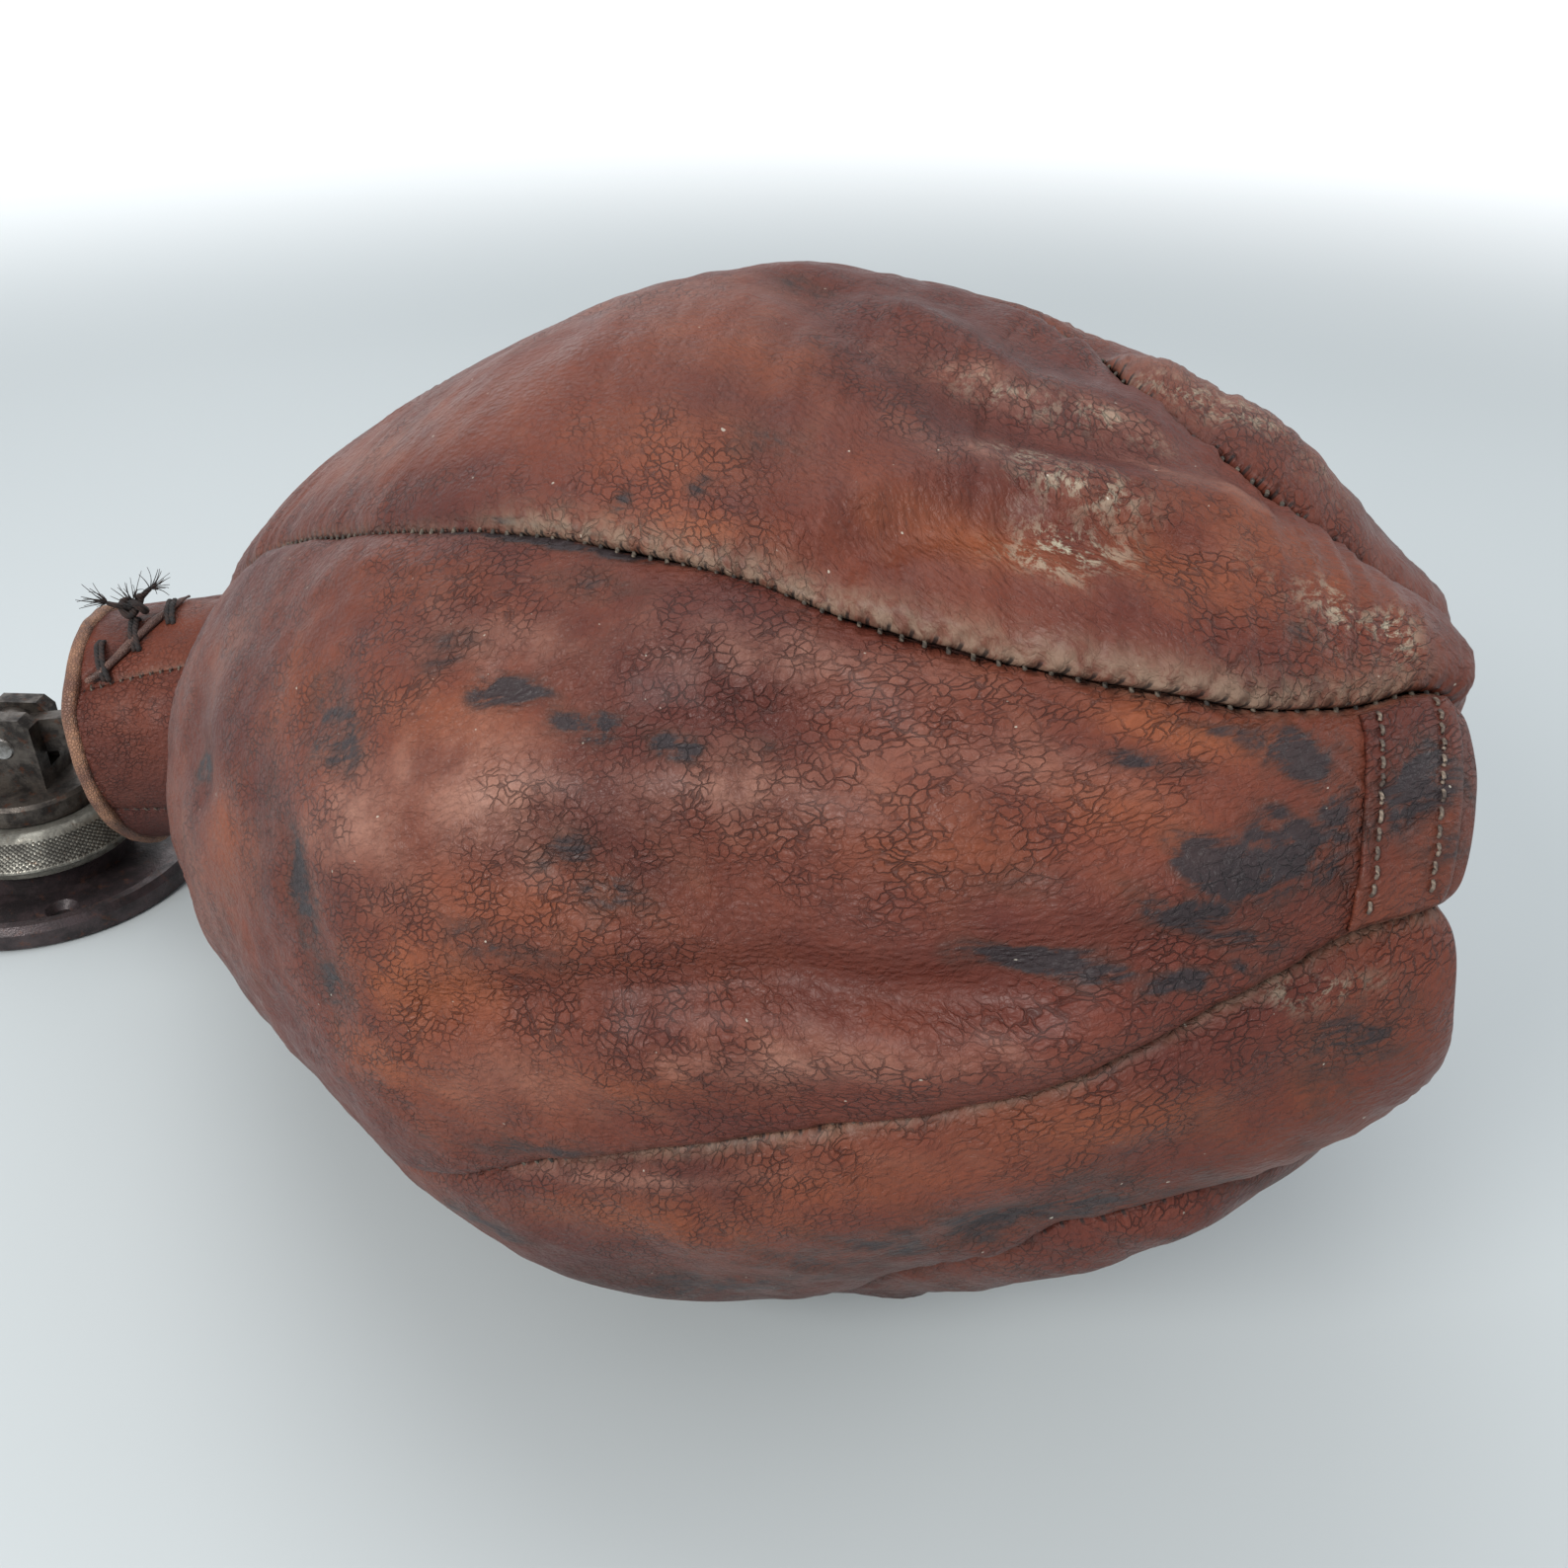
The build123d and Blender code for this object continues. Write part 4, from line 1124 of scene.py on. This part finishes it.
# ================================================================ the swivel
RING_PROFILE = (
    (25.05, 13.8), (31.0, 13.8), (31.5, 14.3), (31.5, 16.7), (31.9, 17.1), (33.6, 17.3), (34.4, 17.9),
    (34.3, 18.6), (29.0, 26.3), (28.3, 27.2), (27.0, 28.3), (25.6, 28.5), (9.08, 28.5), (9.08, 19.0),
    (19.8, 19.0), (19.8, 23.3), (25.05, 23.3),
)
KNURL_FROM = (34.3, 18.6)
KNURL_TO = (29.0, 26.3)
KNURL_COUNT = 104
KNURL_DEPTH = 0.5
KNURL_STEPS = 22
KNURL_SLANT = 6.2           # grooves that one groove crosses on its way up the cone
RING_POINTS = 624
SHARP_DEG = 38.0


def knurled_ring():
    """The conical hand ring, its cone cut with crossed diagonal grooves."""
    profile = []
    for a, b in zip(RING_PROFILE, RING_PROFILE[1:] + RING_PROFILE[:1]):
        cone = a == KNURL_FROM and b == KNURL_TO
        steps = KNURL_STEPS if cone else 1
        for k in range(steps):
            f = k / steps
            profile.append((a[0] + (b[0] - a[0]) * f, a[1] + (b[1] - a[1]) * f, f if cone else -1.0))
    r, z, f = np.array(profile).T
    angle = np.linspace(0.0, 2 * np.pi, RING_POINTS, endpoint=False)[:, None]
    slant = KNURL_SLANT * 2 * np.pi / KNURL_COUNT
    grooves = []
    for sign, depth in ((1, 1.0), (-1, 0.55)):
        phase = KNURL_COUNT * (angle + sign * slant * f[None, :])
        grooves.append(depth * np.clip(np.cos(phase), 0.0, 1.0) ** 1.5)
    inside = (f > 0.03) & (f < 0.98)
    cut = KNURL_DEPTH * np.maximum(grooves[0], grooves[1]) * inside[None, :]
    at = np.stack([20 * np.cos(angle + 0 * f), 20 * np.sin(angle + 0 * f), z + 0 * angle], -1)
    wear = 1 - 0.55 * np.clip(noise(at, 7.0, 81), 0, 1)
    rr = r[None, :] - cut * wear
    points = np.stack([rr * np.cos(angle), rr * np.sin(angle), z[None, :] + 0 * angle], -1)
    faces = torus_faces(RING_POINTS, len(profile))
    groove = {"groove": (cut / KNURL_DEPTH).ravel()}
    piece = make_object("knurled_lock_ring", points.reshape(-1, 3), faces, groove)
    piece.data.set_sharp_from_angle(angle=math.radians(SHARP_DEG))
    return piece


def knurl_metal():
    """Worn nickel, dark in the grooves and greenish grey on the crests."""
    n = Net("worn_nickel_knurl")
    at = n.where()
    patch = n.noise(at, 110.0, 5.0, 0.65)
    base = n.mix(n.ramp(patch, 0.38, 0.64), rgb(0.3, 0.29, 0.25), rgb(0.12, 0.115, 0.1))
    base = n.mix(n.ramp(n.attribute("groove"), 0.1, 0.6, 0.0, 0.85), base, rgb(0.025, 0.023, 0.02))
    base = n.mix(n.ramp(n.noise(at, 320.0, 4.0, 0.7), 0.58, 0.7, 0.0, 0.6), base, rgb(0.09, 0.05, 0.03))
    fine = n.noise(at, 1200.0, 2.0)
    rough = n.ramp(patch, 0.3, 0.7, 0.34, 0.6)
    return n.finish(Base_Color=base, Metallic=0.75, Roughness=rough, Normal=n.bump(fine, 0.00012))


def swivel_pieces(steel, rubber_skin):
    ring = outward(dress(knurled_ring(), knurl_metal()))
    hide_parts("lock_ring")
    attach(ring, "lock_ring")
    dull, grime = rgb(0.06, 0.043, 0.045), rgb(0.022, 0.017, 0.018)
    enamel = worn_metal("flange_dark_enamel", dull, grime, 0.35, 0.34, 0.35)
    iron = worn_metal("dark_iron", rgb(0.105, 0.09, 0.078), rgb(0.03, 0.026, 0.024), 0.8, 0.42, 0.5, 1.4)
    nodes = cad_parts
    coats = {
        "flange_plate": enamel, "collar": iron, "fork": iron, "hanger": iron, "pivot_pin": steel,
        "spindle": steel, "race_lower": steel, "race_upper": steel, "bearing_balls": steel,
        "plug_washer": steel, "plug_nut": steel, "neck_plug": wood(), "bladder_stem": rubber_skin,
    }
    for name, material in coats.items():
        dress(nodes[name], material)


# ================================================================ camera, floor and light
CAMERA_AT = (0.2791, -0.4150, 0.300)
CAMERA_TURN = (58.0, 0.0, 3.0)
LENS = 36.0 * 1500.0 / 1588.0


def camera():
    data = bpy.data.cameras.new("camera")
    data.lens = LENS
    data.sensor_width = 36.0
    data.clip_start = 0.01
    eye = bpy.data.objects.new("camera", data)
    eye.location = CAMERA_AT
    eye.rotation_euler = [math.radians(a) for a in CAMERA_TURN]
    bpy.context.scene.collection.objects.link(eye)
    bpy.context.scene.camera = eye
    bpy.context.scene.view_settings.view_transform = "Standard"


def area_light(name, at, aim, size, power, colour=(1.0, 1.0, 1.0)):
    data = bpy.data.lights.new(name, "AREA")
    data.shape = "DISK"
    data.size = size
    data.energy = power
    data.color = colour
    lamp = bpy.data.objects.new(name, data)
    lamp.location = at
    toward = np.array(aim) - np.array(at)
    lamp.rotation_euler = Vector(toward).to_track_quat("-Z", "Y").to_euler()
    bpy.context.scene.collection.objects.link(lamp)


def stage():
    bpy.ops.mesh.primitive_plane_add(size=14.0, location=(0.2, 0.0, -0.0003))
    floor = bpy.context.object
    floor.name = "studio_floor"
    dress(floor, pale_floor())
    world = bpy.data.worlds.new("studio")
    bpy.context.scene.world = world
    world.use_nodes = True
    sky = world.node_tree.nodes["Background"]
    sky.inputs["Color"].default_value = (0.93, 0.96, 1.0, 1.0)
    sky.inputs["Strength"].default_value = 0.72
    middle = (0.2, -0.1, 0.08)
    area_light("overhead", (0.05, 0.1, 1.25), middle, 0.7, 3.4)
    area_light("back", (-0.5, 1.15, 0.75), middle, 0.9, 2.0)
    area_light("front_left", (-0.35, -0.95, 0.8), middle, 0.45, 11.0, (1.0, 0.985, 0.96))
    area_light("right", (1.35, 0.0, 0.8), middle, 0.8, 4.0)


rubber_material = rubber()
steel_material = worn_metal("bearing_steel", rgb(0.4, 0.39, 0.38), rgb(0.12, 0.11, 0.1), 1.0, 0.3, 0.2)
camera()
stage()
bag_pieces()
tail_pieces()
inner_pieces(rubber_material)
neck_pieces()
swivel_pieces(steel_material, rubber_material)
